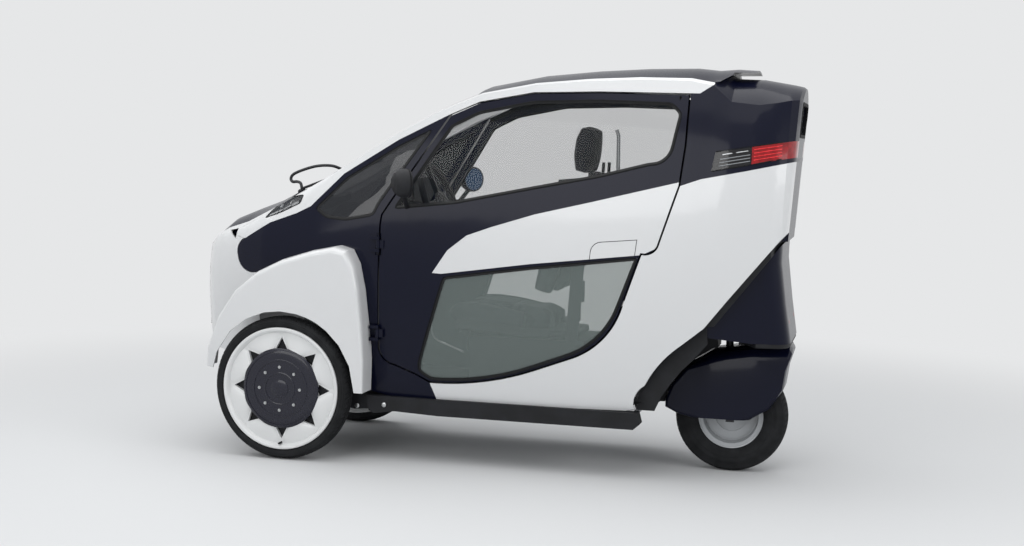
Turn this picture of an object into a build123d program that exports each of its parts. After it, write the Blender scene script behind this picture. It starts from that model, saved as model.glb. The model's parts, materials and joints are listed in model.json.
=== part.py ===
from build123d import *
from collections import namedtuple
from math import cos, radians, sin
import os

# Three wheeled car, millimetres. +X forward, +Y left, +Z up.
# Origin on the ground under the middle of the car.

# Main sizes
BODY_FRONT_X = 1172.0
TAIL_X = -1136.0
FRONT_AXLE_X = 715.0
REAR_AXLE_X = -916.0
STEER_X = -900.0
FRONT_WHEEL_Y = 385.0
FRONT_TYRE_R = 268.0
FRONT_TYRE_W = 86.0
RIM_R = 229.0
HUB_DISC_R = 150.0
REAR_TYRE_R = 206.0
REAR_TYRE_W = 100.0
REAR_RIM_R = 114.0

# Walls and gaps
WALL = 28.0
GLASS_DEPTH = 3.0
GLASS_T = 5.0
SKIN_T = 6.0
DOOR_GAP = 7.0
PANEL_GAP = 3.0
BAND_GAP = 1.0
HANDLE_GAP = 2.5
SEAT_GAP = 0.3
WHEEL_GAP = 22.0
RUN_FIT = 0.05

# Extents larger than the car, for cutting prisms
FAR_X = 1300.0
FAR_Y = 400.0
FAR_Z = 1600.0
CABIN_MID_Y = 100.0

# Body sections: half widths and heights of the bottom corner, the widest point, the roof edge and the crown.
# lean tips a section about the height LEAN_Z, as millimetres forward for each millimetre down.
Section = namedtuple("Section", "x low_y low_z wide_y wide_z edge_y edge_z crown_z lean")
BODY_SECTIONS = (
    Section(BODY_FRONT_X, 50.0, 430.0, 76.0, 600.0, 56.0, 735.0, 745.0, 0.0),
    Section(BODY_FRONT_X - 12.0, 80.0, 385.0, 112.0, 610.0, 88.0, 775.0, 790.0, 0.0),
    Section(BODY_FRONT_X - 52.0, 118.0, 365.0, 162.0, 640.0, 128.0, 806.0, 832.0, 0.0),
    Section(BODY_FRONT_X - 112.0, 150.0, 352.0, 205.0, 690.0, 165.0, 828.0, 882.0, 0.0),
    Section(960.0, 185.0, 345.0, 250.0, 730.0, 200.0, 858.0, 922.0, 0.0),
    Section(850.0, 215.0, 340.0, 290.0, 742.0, 232.0, 914.0, 962.0, 0.0),
    Section(620.0, 270.0, 300.0, 328.0, 750.0, 262.0, 1040.0, 1078.0, 0.0),
    Section(330.0, 300.0, 246.0, 345.0, 765.0, 272.0, 1215.0, 1255.0, 0.0),
    Section(0.0, 305.0, 246.0, 350.0, 780.0, 262.0, 1368.0, 1411.0, 0.0),
    Section(-400.0, 305.0, 246.0, 350.0, 800.0, 256.0, 1421.0, 1468.0, 0.0),
    Section(-760.0, 292.0, 256.0, 340.0, 850.0, 250.0, 1424.0, 1480.0, 0.0),
    Section(-842.0, 287.0, 270.0, 336.0, 870.0, 250.0, 1408.0, 1472.0, 0.0),
    Section(-905.0, 283.0, 285.0, 332.0, 900.0, 260.0, 1352.0, 1443.0, 0.0),
    Section(-1000.0, 272.0, 340.0, 318.0, 960.0, 256.0, 1342.0, 1440.0, 0.0),
    Section(-1060.0, 258.0, 430.0, 300.0, 990.0, 244.0, 1350.0, 1430.0, 0.0),
    Section(TAIL_X + 30.0, 235.0, 560.0, 276.0, 1000.0, 226.0, 1360.0, 1421.0, 0.035),
    Section(TAIL_X + 8.0, 205.0, 640.0, 243.0, 1005.0, 198.0, 1362.0, 1415.0, 0.06),
    Section(TAIL_X, 165.0, 700.0, 198.0, 1005.0, 160.0, 1358.0, 1408.0, 0.07),
)
STATION_STEP = 160.0
LEAN_Z = 1250.0
LEAN_ROOM = 27.0

# Fender sections round the front wheel, from the front tip back to the rear leg
FenderSection = namedtuple("FenderSection", "angle height side_y round_r")
FENDER_SECTIONS = (
    FenderSection(12.0, 28.0, 404.0, 12.0),
    FenderSection(25.0, 44.0, 414.0, 20.0),
    FenderSection(45.0, 76.0, 422.0, 30.0),
    FenderSection(62.0, 117.0, 426.0, 38.0),
    FenderSection(77.0, 156.0, 427.0, 42.0),
    FenderSection(90.0, 193.0, 428.0, 45.0),
    FenderSection(103.0, 244.0, 428.0, 45.0),
    FenderSection(111.0, 286.0, 427.0, 45.0),
    FenderSection(116.0, 294.0, 426.0, 42.0),
    FenderSection(121.0, 262.0, 425.0, 38.0),
    FenderSection(129.0, 194.0, 424.0, 34.0),
    FenderSection(143.0, 108.0, 422.0, 26.0),
    FenderSection(160.0, 56.0, 420.0, 18.0),
    FenderSection(180.0, 33.0, 416.0, 12.0),
)
FENDER_T = 5.0
FENDER_IN_Y = 322.0
ARCH_R = FRONT_TYRE_R + WHEEL_GAP

# Side outlines, as (x, z) corners or (via x, via z, x, z) arcs
DOOR_OUTLINE = (
    (113.0, 1296.0), (357.0, 925.0), (362.0, 890.0), (366.0, 430.0), (352.0, 392.0, 305.0, 365.0), (219.0, 333.0),
    (164.0, 306.0), (-40.0, 322.0, -238.0, 377.0), (-377.0, 430.0), (-500.0, 520.0, -560.0, 640.0), (-618.0, 812.0),
    (-660.0, 822.0, -676.0, 842.0), (-744.0, 1057.0), (-759.0, 1199.0), (-764.0, 1380.0), (-439.0, 1384.0),
    (-198.0, 1379.0), (3.0, 1343.0),
)
DOOR_PANEL_OUTLINE = (
    (151.0, 718.0), (94.0, 803.0), (23.0, 859.0), (-67.0, 892.0), (-228.0, 943.0), (-434.0, 993.0),
    (-748.0, 1072.0), (-680.0, 842.0), (-618.0, 812.0), (-217.0, 765.0), (115.0, 716.0),
)
HANDLE_OUTLINE = (
    (-431.0, 780.0), (-434.0, 815.0), (-446.0, 842.0, -473.0, 854.0), (-601.0, 866.0), (-592.0, 780.0),
)
DOOR_WINDOW_OUTLINE = (
    (306.0, 948.0), (72.0, 974.0), (-250.0, 1040.0), (-456.0, 1081.0), (-633.0, 1127.0),
    (-690.0, 1148.0, -712.0, 1185.0), (-736.0, 1310.0), (-700.0, 1345.0), (-439.0, 1352.0), (-198.0, 1345.0),
    (3.0, 1305.0), (105.0, 1255.0),
)
DOOR_LOWER_WINDOW_OUTLINE = (
    (108.0, 704.0), (206.0, 382.0), (206.0, 348.0), (158.0, 320.0), (-40.0, 336.0, -232.0, 390.0), (-370.0, 443.0),
    (-486.0, 530.0, -547.0, 645.0), (-604.0, 802.0), (-217.0, 753.0),
)
QUARTER_OUTLINE = (
    (362.0, 890.0), (366.0, 430.0), (352.0, 392.0, 305.0, 365.0), (219.0, 333.0), (164.0, 306.0), (140.0, 246.0),
    (140.0, 200.0), (414.0, 200.0), (420.0, 560.0), (560.0, 660.0), (889.0, 686.0), (950.0, 702.0, 972.0, 745.0),
    (968.0, 788.0, 940.0, 812.0), (823.0, 878.0), (712.0, 916.0), (650.0, 945.0), (524.0, 1070.0), (308.0, 1200.0),
    (113.0, 1296.0), (357.0, 925.0),
)
QUARTER_WINDOW_OUTLINE = (
    (628.0, 938.0), (578.0, 905.0), (498.0, 899.0), (388.0, 920.0), (370.0, 960.0), (178.0, 1240.0),
    (308.0, 1175.0), (510.0, 1055.0),
)
BAND_OUTLINE = (
    (1004.0, 846.0), (978.0, 818.0), (940.0, 812.0), (823.0, 878.0), (712.0, 916.0), (650.0, 945.0),
    (524.0, 1070.0), (308.0, 1200.0), (113.0, 1296.0), (3.0, 1343.0), (-198.0, 1379.0), (-439.0, 1384.0),
    (-795.0, 1380.0), (-842.0, 1412.0), (-842.0, FAR_Z), (1004.0, FAR_Z),
)
REAR_QUARTER_OUTLINE = (
    (140.0, 246.0), (140.0, 200.0), (-599.0, 200.0), (-599.0, 253.0), (-600.0, 300.0, -636.0, 345.0),
    (-700.0, 440.0, -766.0, 500.0), (-841.0, 562.0), (-921.0, 665.0), (-1087.0, 872.0), (-1116.0, 904.0),
    (-1200.0, 910.0), (-1200.0, 1162.0), (-1150.0, 1153.0), (-967.0, 1113.0), (-814.0, 1082.0), (-744.0, 1057.0),
    (-676.0, 842.0), (-660.0, 822.0, -618.0, 812.0), (-560.0, 640.0), (-500.0, 520.0, -377.0, 430.0),
    (-238.0, 377.0), (-40.0, 322.0, 164.0, 306.0),
)
ROOF_REAR_X = -896.0
TAIL_UPPER_OUTLINE = (
    (-744.0, 1057.0), (-814.0, 1082.0), (-967.0, 1113.0), (-1150.0, 1153.0), (-1200.0, 1162.0), (-1200.0, 1460.0),
    (ROOF_REAR_X, 1460.0), (ROOF_REAR_X, 1449.0), (-842.0, 1412.0), (-795.0, 1380.0), (-764.0, 1380.0),
    (-759.0, 1199.0),
)
LAMP_OUTLINE = (
    (853.0, 893.0), (780.0, 918.0), (701.0, 955.0), (693.0, 985.0), (800.0, 968.0),
)
TAIL_LAMP_OUTLINE = (
    (-860.0, 1177.0), (-1000.0, 1200.0), (-1200.0, 1232.0), (-1200.0, 1175.0), (-1000.0, 1140.0), (-848.0, 1111.0),
)
# Arch liner over the rear wheel, its wheel side and then its cabin side
LINER_OUTLINE = (
    (-598.0, 246.0), (-599.0, 262.0), (-602.0, 302.0, -638.0, 348.0), (-702.0, 443.0, -768.0, 503.0),
    (-843.0, 565.0), (-843.0, 575.0), (-833.0, 575.0), (-762.0, 510.0), (-696.0, 449.0, -632.0, 353.0),
    (-594.0, 304.0, -590.0, 262.0), (-590.0, 246.0),
)
# Dark tail under the white quarters: rear line and the half widths of its front and rear corners
TailRow = namedtuple("TailRow", "z rear_x front_y rear_y")
TAIL_FRONT_X = -700.0
TAIL_CORNER = 80.0
TAIL_WALL = 8.0
TAIL_ROWS = (
    TailRow(505.0, -1132.0, 292.0, 226.0),
    TailRow(640.0, -1111.0, 302.0, 238.0),
    TailRow(790.0, -1092.0, 298.0, 246.0),
    TailRow(902.0, -1094.0, 294.0, 248.0),
)
TAIL_LOWER_OUTLINE = (
    (-833.0, 523.0), (-845.0, 565.7), (-871.0, 565.7), (-1098.0, 864.0), (-1112.0, 902.0), (-1250.0, 902.0),
    (-1250.0, 505.0), (-1000.0, 505.0),
)
TAIL_CAVITY_OUTLINE = (
    (-853.0, 400.0), (-853.0, 560.0), (-877.0, 560.0), (-1076.0, 822.0), (-1250.0, 822.0), (-1250.0, 400.0),
)
# Steered rear cover: its middle outline, and rings of distance from the middle, inset and drop of the top
REAR_COVER_OUTLINE = (
    (-754.0, 388.0), (-847.0, 452.0), (-990.0, 478.0), (-1124.0, 486.0), (-1134.0, 468.0), (-1116.0, 396.0),
    (-1106.0, 322.0), (-1060.0, 252.0), (-990.0, 206.0), (-940.0, 194.0), (-826.0, 192.0), (-725.0, 214.0),
    (-679.0, 236.0), (-680.0, 268.0), (-702.0, 325.0),
)
CoverRing = namedtuple("CoverRing", "side_y inset top_drop")
COVER_RINGS = (
    CoverRing(112.0, 12.0, 30.0),
    CoverRing(106.0, 4.0, 24.0),
    CoverRing(92.0, 0.0, 12.0),
    CoverRing(60.0, 0.0, 0.0),
)
COVER_TOP_POINTS = 5
COVER_T = 6.0
# Roof spoiler over the tail: half width, crown height, edge drop and thickness
SpoilerSection = namedtuple("SpoilerSection", "x half_y crown_z drop thick")
SPOILER_SECTIONS = (
    SpoilerSection(-836.0, 225.0, 1472.0, 51.0, 24.0),
    SpoilerSection(-905.0, 217.0, 1477.0, 47.0, 15.0),
    SpoilerSection(-976.0, 204.0, 1473.0, 43.0, 6.0),
)

# Bonnet, windscreen and roof lines
BAND_TOP_W = 24.0
HOOD_FRONT_X = BODY_FRONT_X - 84.0
HOOD_LOW_Z = 780.0
WINDSHIELD_FRONT_X = 762.0
ROOF_FRONT_X = 20.0
NOSE_REAR_X = 880.0
NOTCH_OUTLINE = ((1042.0, 836.0), (990.0, 806.0), (990.0, 846.0))

# Floor, seats and lower body
FLOOR_Z = 246.0
FLOOR_T = 24.0
DECK_Z = 590.0
TUB_HALF_W = 262.0
TAIL_HALF_W = 165.0
SILL_Z = 185.0
SEAT_BASE_Z = 470.0
ARC_CHORDS = 6


def path(rows, y):
    edges = []
    here = rows[-1][-2:]
    for row in rows:
        there = row[-2:]
        start = Vector(here[0], y, here[1])
        end = Vector(there[0], y, there[1])
        if len(row) == 4:
            edges.append(ThreePointArc(start, Vector(row[0], y, row[1]), end))
        else:
            edges.append(Line(start, end))
        here = there
    return Face(Wire(edges))


def chords(rows):
    # Corner points of an outline, with each arc as ARC_CHORDS equal chords
    points = []
    here = rows[-1][-2:]
    for row in rows:
        there = row[-2:]
        if len(row) == 4:
            ends = [Vector(x, 0, z) for x, z in (here, row[:2], there)]
            arc = ThreePointArc(*ends)
            for step in range(1, ARC_CHORDS):
                at = arc @ (step / ARC_CHORDS)
                points.append((at.X, at.Z))
        points.append(there)
        here = there
    return points


def inset_points(points, distance):
    # Moves each edge of a closed outline inwards by the distance
    count = len(points)
    area = sum(points[i - 1][0] * points[i][1] - points[i][0] * points[i - 1][1] for i in range(count))
    turn = 1.0 if area > 0 else -1.0
    normals = []
    for i in range(count):
        dx = points[(i + 1) % count][0] - points[i][0]
        dz = points[(i + 1) % count][1] - points[i][1]
        length = (dx * dx + dz * dz) ** 0.5
        normals.append((-turn * dz / length, turn * dx / length))
    moved = []
    for i in range(count):
        before, after = normals[i - 1], normals[i]
        scale = distance / (1.0 + before[0] * after[0] + before[1] * after[1])
        moved.append((
            points[i][0] + scale * (before[0] + after[0]),
            points[i][1] + scale * (before[1] + after[1]),
        ))
    return moved


def outline_face(points, y):
    return Face(Wire.make_polygon([Vector(x, y, z) for x, z in points], close=True))


def side_prism(rows, y_low, y_high, shrink=0.0):
    if shrink:
        face = outline_face(inset_points(chords(rows), shrink), y_low)
    else:
        face = path(rows, y_low)
    return extrude(face, amount=y_high - y_low, dir=(0, 1, 0))


def both(shape):
    return [shape, mirror(shape, about=Plane.XZ)]


def section_face(s, inset, x_shift):
    low_y = s.low_y - 0.85 * inset
    low_z = s.low_z + inset
    edge_y = s.edge_y - 0.7 * inset
    edge_z = s.edge_z - 0.95 * inset
    side_y = 2 * (s.wide_y - inset) - (low_y + edge_y) / 2
    side_z = 2 * s.wide_z - (low_z + edge_z) / 2
    crown = 2 * (s.crown_z - inset) - edge_z
    lean = 0.0 if inset else s.lean

    def at(y, z):
        return Vector(s.x + x_shift + lean * (LEAN_Z - z), y, z)

    return Face(Wire([
        Line(at(-low_y, low_z), at(low_y, low_z)),
        Bezier(at(low_y, low_z), at(side_y, side_z), at(edge_y, edge_z)),
        Bezier(at(edge_y, edge_z), at(0, crown), at(-edge_y, edge_z)),
        Bezier(at(-edge_y, edge_z), at(-side_y, side_z), at(-low_y, low_z)),
    ]))


def key_slope(keys, index, field):
    before = keys[max(index - 1, 0)]
    after = keys[min(index + 1, len(keys) - 1)]
    return (after[field] - before[field]) / (after.x - before.x)


def section_at(keys, x):
    # Section at x, by smooth cubic blends between the rows of the table
    index = 0
    while index < len(keys) - 2 and x < keys[index + 1].x:
        index += 1
    a, b = keys[index], keys[index + 1]
    span = b.x - a.x
    t = (x - a.x) / span
    values = [x]
    for field in range(1, len(a)):
        out = span * key_slope(keys, index, field)
        into = span * key_slope(keys, index + 1, field)
        values.append(
            (2 * t**3 - 3 * t**2 + 1) * a[field] + (t**3 - 2 * t**2 + t) * out
            + (3 * t**2 - 2 * t**3) * b[field] + (t**3 - t**2) * into
        )
    return Section(*values)


def body_stations():
    stations = [BODY_SECTIONS[0].x]
    for a, b in zip(BODY_SECTIONS, BODY_SECTIONS[1:]):
        steps = max(1, int((a.x - b.x) / STATION_STEP))
        stations += [a.x + (b.x - a.x) * step / steps for step in range(1, steps + 1)]
    return stations


def body_loft(inset):
    # The body's outside, or a skin that lies inset inside it
    front, rear = BODY_SECTIONS[0], BODY_SECTIONS[-1]
    if not inset:
        return loft([section_face(section_at(BODY_SECTIONS, x), 0.0, 0.0) for x in body_stations()], ruled=True)
    front_x = front.x - inset
    rear_x = rear.x + inset + LEAN_ROOM
    faces = [section_face(front, inset, -inset)]
    for x in body_stations():
        if rear_x + inset / 2 < x < front_x - inset / 2:
            faces.append(section_face(section_at(BODY_SECTIONS, x), inset, 0.0))
    faces.append(section_face(rear, inset, inset + LEAN_ROOM))
    return loft(faces, ruled=True)


def roof_height(x, y):
    s = section_at(BODY_SECTIONS, x)
    return s.crown_z - (s.crown_z - s.edge_z) * (y / s.edge_y) ** 2


def wheel_ring(rows, x, y, z):
    # rows are (radius, offset along the axle); the ring turns about the Y line through (x, z)
    points = [Vector(x + radius, y + along, z) for radius, along in rows]
    face = Face(Wire.make_polygon(points, close=True))
    return revolve(face, Axis((x, y, z), (0, 1, 0)), 360)


def pin_y(radius, x, y_low, y_high, z):
    return extrude(Plane(origin=(x, y_low, z), z_dir=(0, 1, 0)) * Circle(radius), amount=y_high - y_low)


def pin_z(radius, x, y, z_low, z_high):
    return Pos(x, y, (z_low + z_high) / 2) * Cylinder(radius, z_high - z_low)


def block(x_low, x_high, y_low, y_high, z_low, z_high):
    return Pos((x_low + x_high) / 2, (y_low + y_high) / 2, (z_low + z_high) / 2) * Box(
        x_high - x_low, y_high - y_low, z_high - z_low
    )


def rod(radius, start, end):
    a = Vector(*start)
    b = Vector(*end)
    return extrude(Plane(origin=a, z_dir=b - a) * Circle(radius), amount=(b - a).length)


def solids_of(shape):
    if isinstance(shape, (list, tuple)):
        found = []
        for item in shape:
            found += solids_of(item)
        return found
    return [s for s in shape.solids() if s.volume > 50.0]


def largest(shape):
    return max(shape.solids(), key=lambda solid: solid.volume)


def save(name, shape):
    solids = solids_of(shape)
    export_step(Compound(children=solids), "parts/" + name + ".step")
    print(name, len(solids))


os.makedirs("parts", exist_ok=True)

# Body skins
outer = body_loft(0.0)
inner = body_loft(WALL)
shell = outer - inner
glass_layer = body_loft(GLASS_DEPTH) - body_loft(GLASS_DEPTH + GLASS_T)
skin_layer = outer - body_loft(SKIN_T)

# Plan strip between the white bands
inner_edge = [(x, section_at(BODY_SECTIONS, x).edge_y - BAND_TOP_W) for x in body_stations()]
plan_points = [(FAR_X, inner_edge[0][1])] + inner_edge + [(-FAR_X, inner_edge[-1][1])]
plan_face = Face(Wire.make_polygon(
    [Vector(x, y, 0) for x, y in plan_points] + [Vector(x, -y, 0) for x, y in reversed(plan_points)], close=True
))
plan_strip = extrude(plan_face, amount=FAR_Z, dir=(0, 0, 1))
top_zone = block(-FAR_X, FAR_X, -FAR_Y, FAR_Y, HOOD_LOW_Z, FAR_Z)
left_half = block(-FAR_X, FAR_X, CABIN_MID_Y, FAR_Y, 0, FAR_Z)
hood_zone = block(WINDSHIELD_FRONT_X + PANEL_GAP, HOOD_FRONT_X, -FAR_Y, FAR_Y, HOOD_LOW_Z, FAR_Z)

# Top panels
top = shell & plan_strip & top_zone
hood = top & hood_zone
windshield = (
    glass_layer & plan_strip & top_zone
    & block(ROOF_FRONT_X + SEAT_GAP, WINDSHIELD_FRONT_X - SEAT_GAP, -FAR_Y, FAR_Y, 0, FAR_Z)
)
tail_prism = side_prism(TAIL_UPPER_OUTLINE, -FAR_Y, FAR_Y)


def spoiler_face(s):
    low, high = s.crown_z - s.thick, s.crown_z

    def arch(crown, y_from):
        edge = crown - s.drop
        return Bezier(Vector(s.x, y_from, edge), Vector(s.x, 0, 2 * crown - edge), Vector(s.x, -y_from, edge))

    return Face(Wire([
        arch(low, s.half_y),
        Line((s.x, -s.half_y, low - s.drop), (s.x, -s.half_y, high - s.drop)),
        arch(high, -s.half_y),
        Line((s.x, s.half_y, high - s.drop), (s.x, s.half_y, low - s.drop)),
    ]))


spoiler = loft([spoiler_face(s) for s in SPOILER_SECTIONS], ruled=True)
roof = (top & block(ROOF_REAR_X, ROOF_FRONT_X, -FAR_Y, FAR_Y, 0, FAR_Z)) - tail_prism
roof = roof + (spoiler - tail_prism - outer)

# Side panels of one side, then mirrored
roof_zone = block(TAIL_X + WALL + LEAN_ROOM, FAR_X, -FAR_Y, FAR_Y, HOOD_LOW_Z, FAR_Z)
side = (shell & left_half) - (plan_strip & roof_zone)
floor_zone = block(-FAR_X, FAR_X, 0, TUB_HALF_W + SEAT_GAP, 0, FLOOR_Z + 2 * WALL)
quarter_prism = side_prism(QUARTER_OUTLINE, CABIN_MID_Y, FAR_Y)
lamp_prism = side_prism(LAMP_OUTLINE, CABIN_MID_Y, FAR_Y)
band_prism = side_prism(BAND_OUTLINE, CABIN_MID_Y, FAR_Y)
notch = side_prism(NOTCH_OUTLINE, CABIN_MID_Y, FAR_Y)
band = (side & band_prism) - side_prism(LAMP_OUTLINE, CABIN_MID_Y, FAR_Y, -SEAT_GAP) - notch
headlamp = (skin_layer & lamp_prism) - plan_strip
quarter = side & quarter_prism
quarter = quarter - side_prism(QUARTER_WINDOW_OUTLINE, CABIN_MID_Y, FAR_Y) - floor_zone
quarter_glass = glass_layer & side_prism(QUARTER_WINDOW_OUTLINE, CABIN_MID_Y, FAR_Y, SEAT_GAP)
rear_quarter = side & side_prism(REAR_QUARTER_OUTLINE, CABIN_MID_Y, FAR_Y)
rear_quarter = rear_quarter - floor_zone - block(-FAR_X, TAIL_X + 2 * WALL, 0, TAIL_HALF_W, 0, FAR_Z)

# Nose: the skin ahead of the quarters, with the bonnet's strip and the notches beside it left open
nose = skin_layer & block(NOSE_REAR_X, FAR_X, -FAR_Y, FAR_Y, 0, FAR_Z)
nose = nose - (plan_strip & block(0, HOOD_FRONT_X + PANEL_GAP, -FAR_Y, FAR_Y, HOOD_LOW_Z, FAR_Z))
quarter_cut = side_prism(QUARTER_OUTLINE, CABIN_MID_Y, FAR_Y, -PANEL_GAP)
band_cut = side_prism(BAND_OUTLINE, CABIN_MID_Y, FAR_Y, -BAND_GAP)
for cut in (quarter_cut, band_cut, notch):
    for half in both(cut):
        nose = nose - half
nose = largest(nose)

# Door with its white panel, handle flap and glass
door_prism = side_prism(DOOR_OUTLINE, CABIN_MID_Y, FAR_Y, DOOR_GAP)
door = side & door_prism
door = door - side_prism(DOOR_WINDOW_OUTLINE, CABIN_MID_Y, FAR_Y, DOOR_GAP / 2)
door = door - side_prism(DOOR_LOWER_WINDOW_OUTLINE, CABIN_MID_Y, FAR_Y)
door_glass = [
    glass_layer & side_prism(DOOR_WINDOW_OUTLINE, CABIN_MID_Y, FAR_Y, DOOR_GAP / 2 + SEAT_GAP),
    glass_layer & side_prism(DOOR_LOWER_WINDOW_OUTLINE, CABIN_MID_Y, FAR_Y, SEAT_GAP),
]
panel_prism = side_prism(DOOR_PANEL_OUTLINE, CABIN_MID_Y, FAR_Y)
handle_slot = (
    side_prism(HANDLE_OUTLINE, CABIN_MID_Y, FAR_Y) - side_prism(HANDLE_OUTLINE, CABIN_MID_Y, FAR_Y, HANDLE_GAP)
)
door_panel = (skin_layer & side_prism(DOOR_PANEL_OUTLINE, CABIN_MID_Y, FAR_Y, SEAT_GAP) & door_prism) - handle_slot
door = door - (skin_layer & panel_prism)

# Door hinges: a bored barrel on the door turns on a pin held by the front quarter
HINGE_X = 362.0
HINGE_Y = 347.0
HINGE_PIN_R = 4.0
HINGE_BARREL_R = 7.5
HINGE_HALF_H = 15.0
HINGE_POCKET_R = 13.0
HINGE_POCKET_END = 26.0
HINGE_IN_Y = 316.0
BRACKET_T = 12.0
BRACKET_GAP = 2.0
BRACKET_END_R = 6.0
HINGE_HEIGHTS = (485.0, 815.0)
for z in HINGE_HEIGHTS:
    low, high = z - HINGE_HALF_H, z + HINGE_HALF_H
    pocket = pin_z(HINGE_POCKET_R, HINGE_X, HINGE_Y, low - HINGE_POCKET_END, high + HINGE_POCKET_END)
    bore = pin_z(HINGE_PIN_R + RUN_FIT, HINGE_X, HINGE_Y, low, high)
    lug = block(HINGE_X - 22, HINGE_X, HINGE_IN_Y, HINGE_Y, low, high)
    door = door - pocket + (pin_z(HINGE_BARREL_R, HINGE_X, HINGE_Y, low, high) + lug) - bore
    reach = BRACKET_GAP + BRACKET_T
    pin = pin_z(HINGE_PIN_R, HINGE_X, HINGE_Y, low - reach, high + reach)
    for base in (low - reach, high + BRACKET_GAP):
        arm = block(HINGE_X, HINGE_X + 30, HINGE_IN_Y, HINGE_Y + HINGE_PIN_R, base, base + BRACKET_T)
        pin = pin + arm + pin_z(BRACKET_END_R, HINGE_X, HINGE_Y, base, base + BRACKET_T)
    quarter = quarter - pocket + pin

# Rear upper body with its lamps and window
REAR_WINDOW_HALF_W = 140.0
REAR_WINDOW_Z = (1240.0, 1350.0)
LAMP_END_Y = 140.0
tail_upper = shell & tail_prism
rear_window_prism = block(
    TAIL_X - WALL, TAIL_X + 3 * WALL, -REAR_WINDOW_HALF_W, REAR_WINDOW_HALF_W, REAR_WINDOW_Z[0], REAR_WINDOW_Z[1]
)
tail_upper = tail_upper - rear_window_prism
tail_lamp = skin_layer & side_prism(TAIL_LAMP_OUTLINE, LAMP_END_Y, FAR_Y, SEAT_GAP)
for cut in both(skin_layer & side_prism(TAIL_LAMP_OUTLINE, LAMP_END_Y - SEAT_GAP, FAR_Y)):
    tail_upper = tail_upper - cut
window_x = TAIL_X + 2 * GLASS_DEPTH
rear_window = block(
    window_x, window_x + GLASS_T, SEAT_GAP - REAR_WINDOW_HALF_W, REAR_WINDOW_HALF_W - SEAT_GAP,
    REAR_WINDOW_Z[0] + SEAT_GAP, REAR_WINDOW_Z[1] - SEAT_GAP
)

save("hood", hood)
save("windshield", windshield)
save("roof_panel", roof)
save("white_bands", both(band))
save("headlamps", both(headlamp))
save("front_quarters", both(quarter))
save("rear_quarters", both(rear_quarter))
save("side_and_rear_glass", both(quarter_glass) + [rear_window])
save("tail_upper", tail_upper)
save("tail_lamps", both(tail_lamp))
save("nose", nose)
save("door_shell_left", door)
save("door_panel_left", door_panel)
save("door_glass_left", door_glass)
save("door_shell_right", mirror(door, about=Plane.XZ))
save("door_panel_right", mirror(door_panel, about=Plane.XZ))
save("door_glass_right", [mirror(pane, about=Plane.XZ) for pane in door_glass])

# Floor tub: floor, bulkhead, rear deck and seat back slope as one folded plate, with the rear arch liner
TUB_OUTLINE = (
    (430.0, FLOOR_Z), (430.0, 560.0), (404.0, 560.0), (404.0, FLOOR_Z + FLOOR_T), (-575.0, FLOOR_Z + FLOOR_T),
    (-620.0, DECK_Z), (-860.0, DECK_Z), (-1070.0, 866.0), (-1100.0, 866.0), (-872.0, DECK_Z - FLOOR_T),
    (-641.0, DECK_Z - FLOOR_T), (-596.0, FLOOR_Z),
)
PEDESTAL_X = (-380.0, 60.0)
PEDESTAL_HALF_W = 160.0
pedestal = block(
    PEDESTAL_X[0], PEDESTAL_X[1], -PEDESTAL_HALF_W, PEDESTAL_HALF_W, FLOOR_Z, SEAT_BASE_Z - SEAT_GAP
)
tub = side_prism(TUB_OUTLINE, -FAR_Y, FAR_Y) + side_prism(LINER_OUTLINE, -FAR_Y, FAR_Y) + pedestal
tub = tub & (inner + block(-600, 440, -TUB_HALF_W, TUB_HALF_W, FLOOR_Z, FLOOR_Z + 2 * WALL))
save("floor_tub", tub)

# Dark lower body: sills and the battery block between them
SILL_OUT_Y = 322.0
SILL_OUTLINE = (
    (414.0, FLOOR_Z), (401.0, 190.0), (380.0, 180.0), (300.0, 192.0), (130.0, SILL_Z), (-600.0, SILL_Z),
    (-623.0, 205.0), (-612.0, FLOOR_Z),
)
sill = side_prism(SILL_OUTLINE, TUB_HALF_W + SEAT_GAP, SILL_OUT_Y)
save("lower_sills", both(sill - outer))
BATTERY_X = (-560.0, 380.0)
BATTERY_HALF_W = 250.0
BATTERY_Z = 178.0
save("battery_block", block(
    BATTERY_X[0], BATTERY_X[1], -BATTERY_HALF_W, BATTERY_HALF_W, BATTERY_Z, FLOOR_Z - SEAT_GAP
))


# Dark tail with rounded corners, hollow and open at the bottom, with the middle of the rear wall
def tail_face(row, thick, z):
    front_y, rear_y, rear_x = row.front_y - thick, row.rear_y - thick, row.rear_x + thick
    edges = []
    for side_sign in (1, -1):
        corner_start = Vector(rear_x + TAIL_CORNER, side_sign * rear_y, z)
        corner_end = Vector(rear_x, side_sign * (rear_y - TAIL_CORNER), z)
        edges.append(Line(Vector(TAIL_FRONT_X, side_sign * front_y, z), corner_start))
        edges.append(Bezier(corner_start, Vector(rear_x, side_sign * rear_y, z), corner_end))
    edges.append(Line(
        Vector(rear_x, rear_y - TAIL_CORNER, z), Vector(rear_x, TAIL_CORNER - rear_y, z)
    ))
    edges.append(Line(Vector(TAIL_FRONT_X, -front_y, z), Vector(TAIL_FRONT_X, front_y, z)))
    return Face(Wire(edges))


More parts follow.
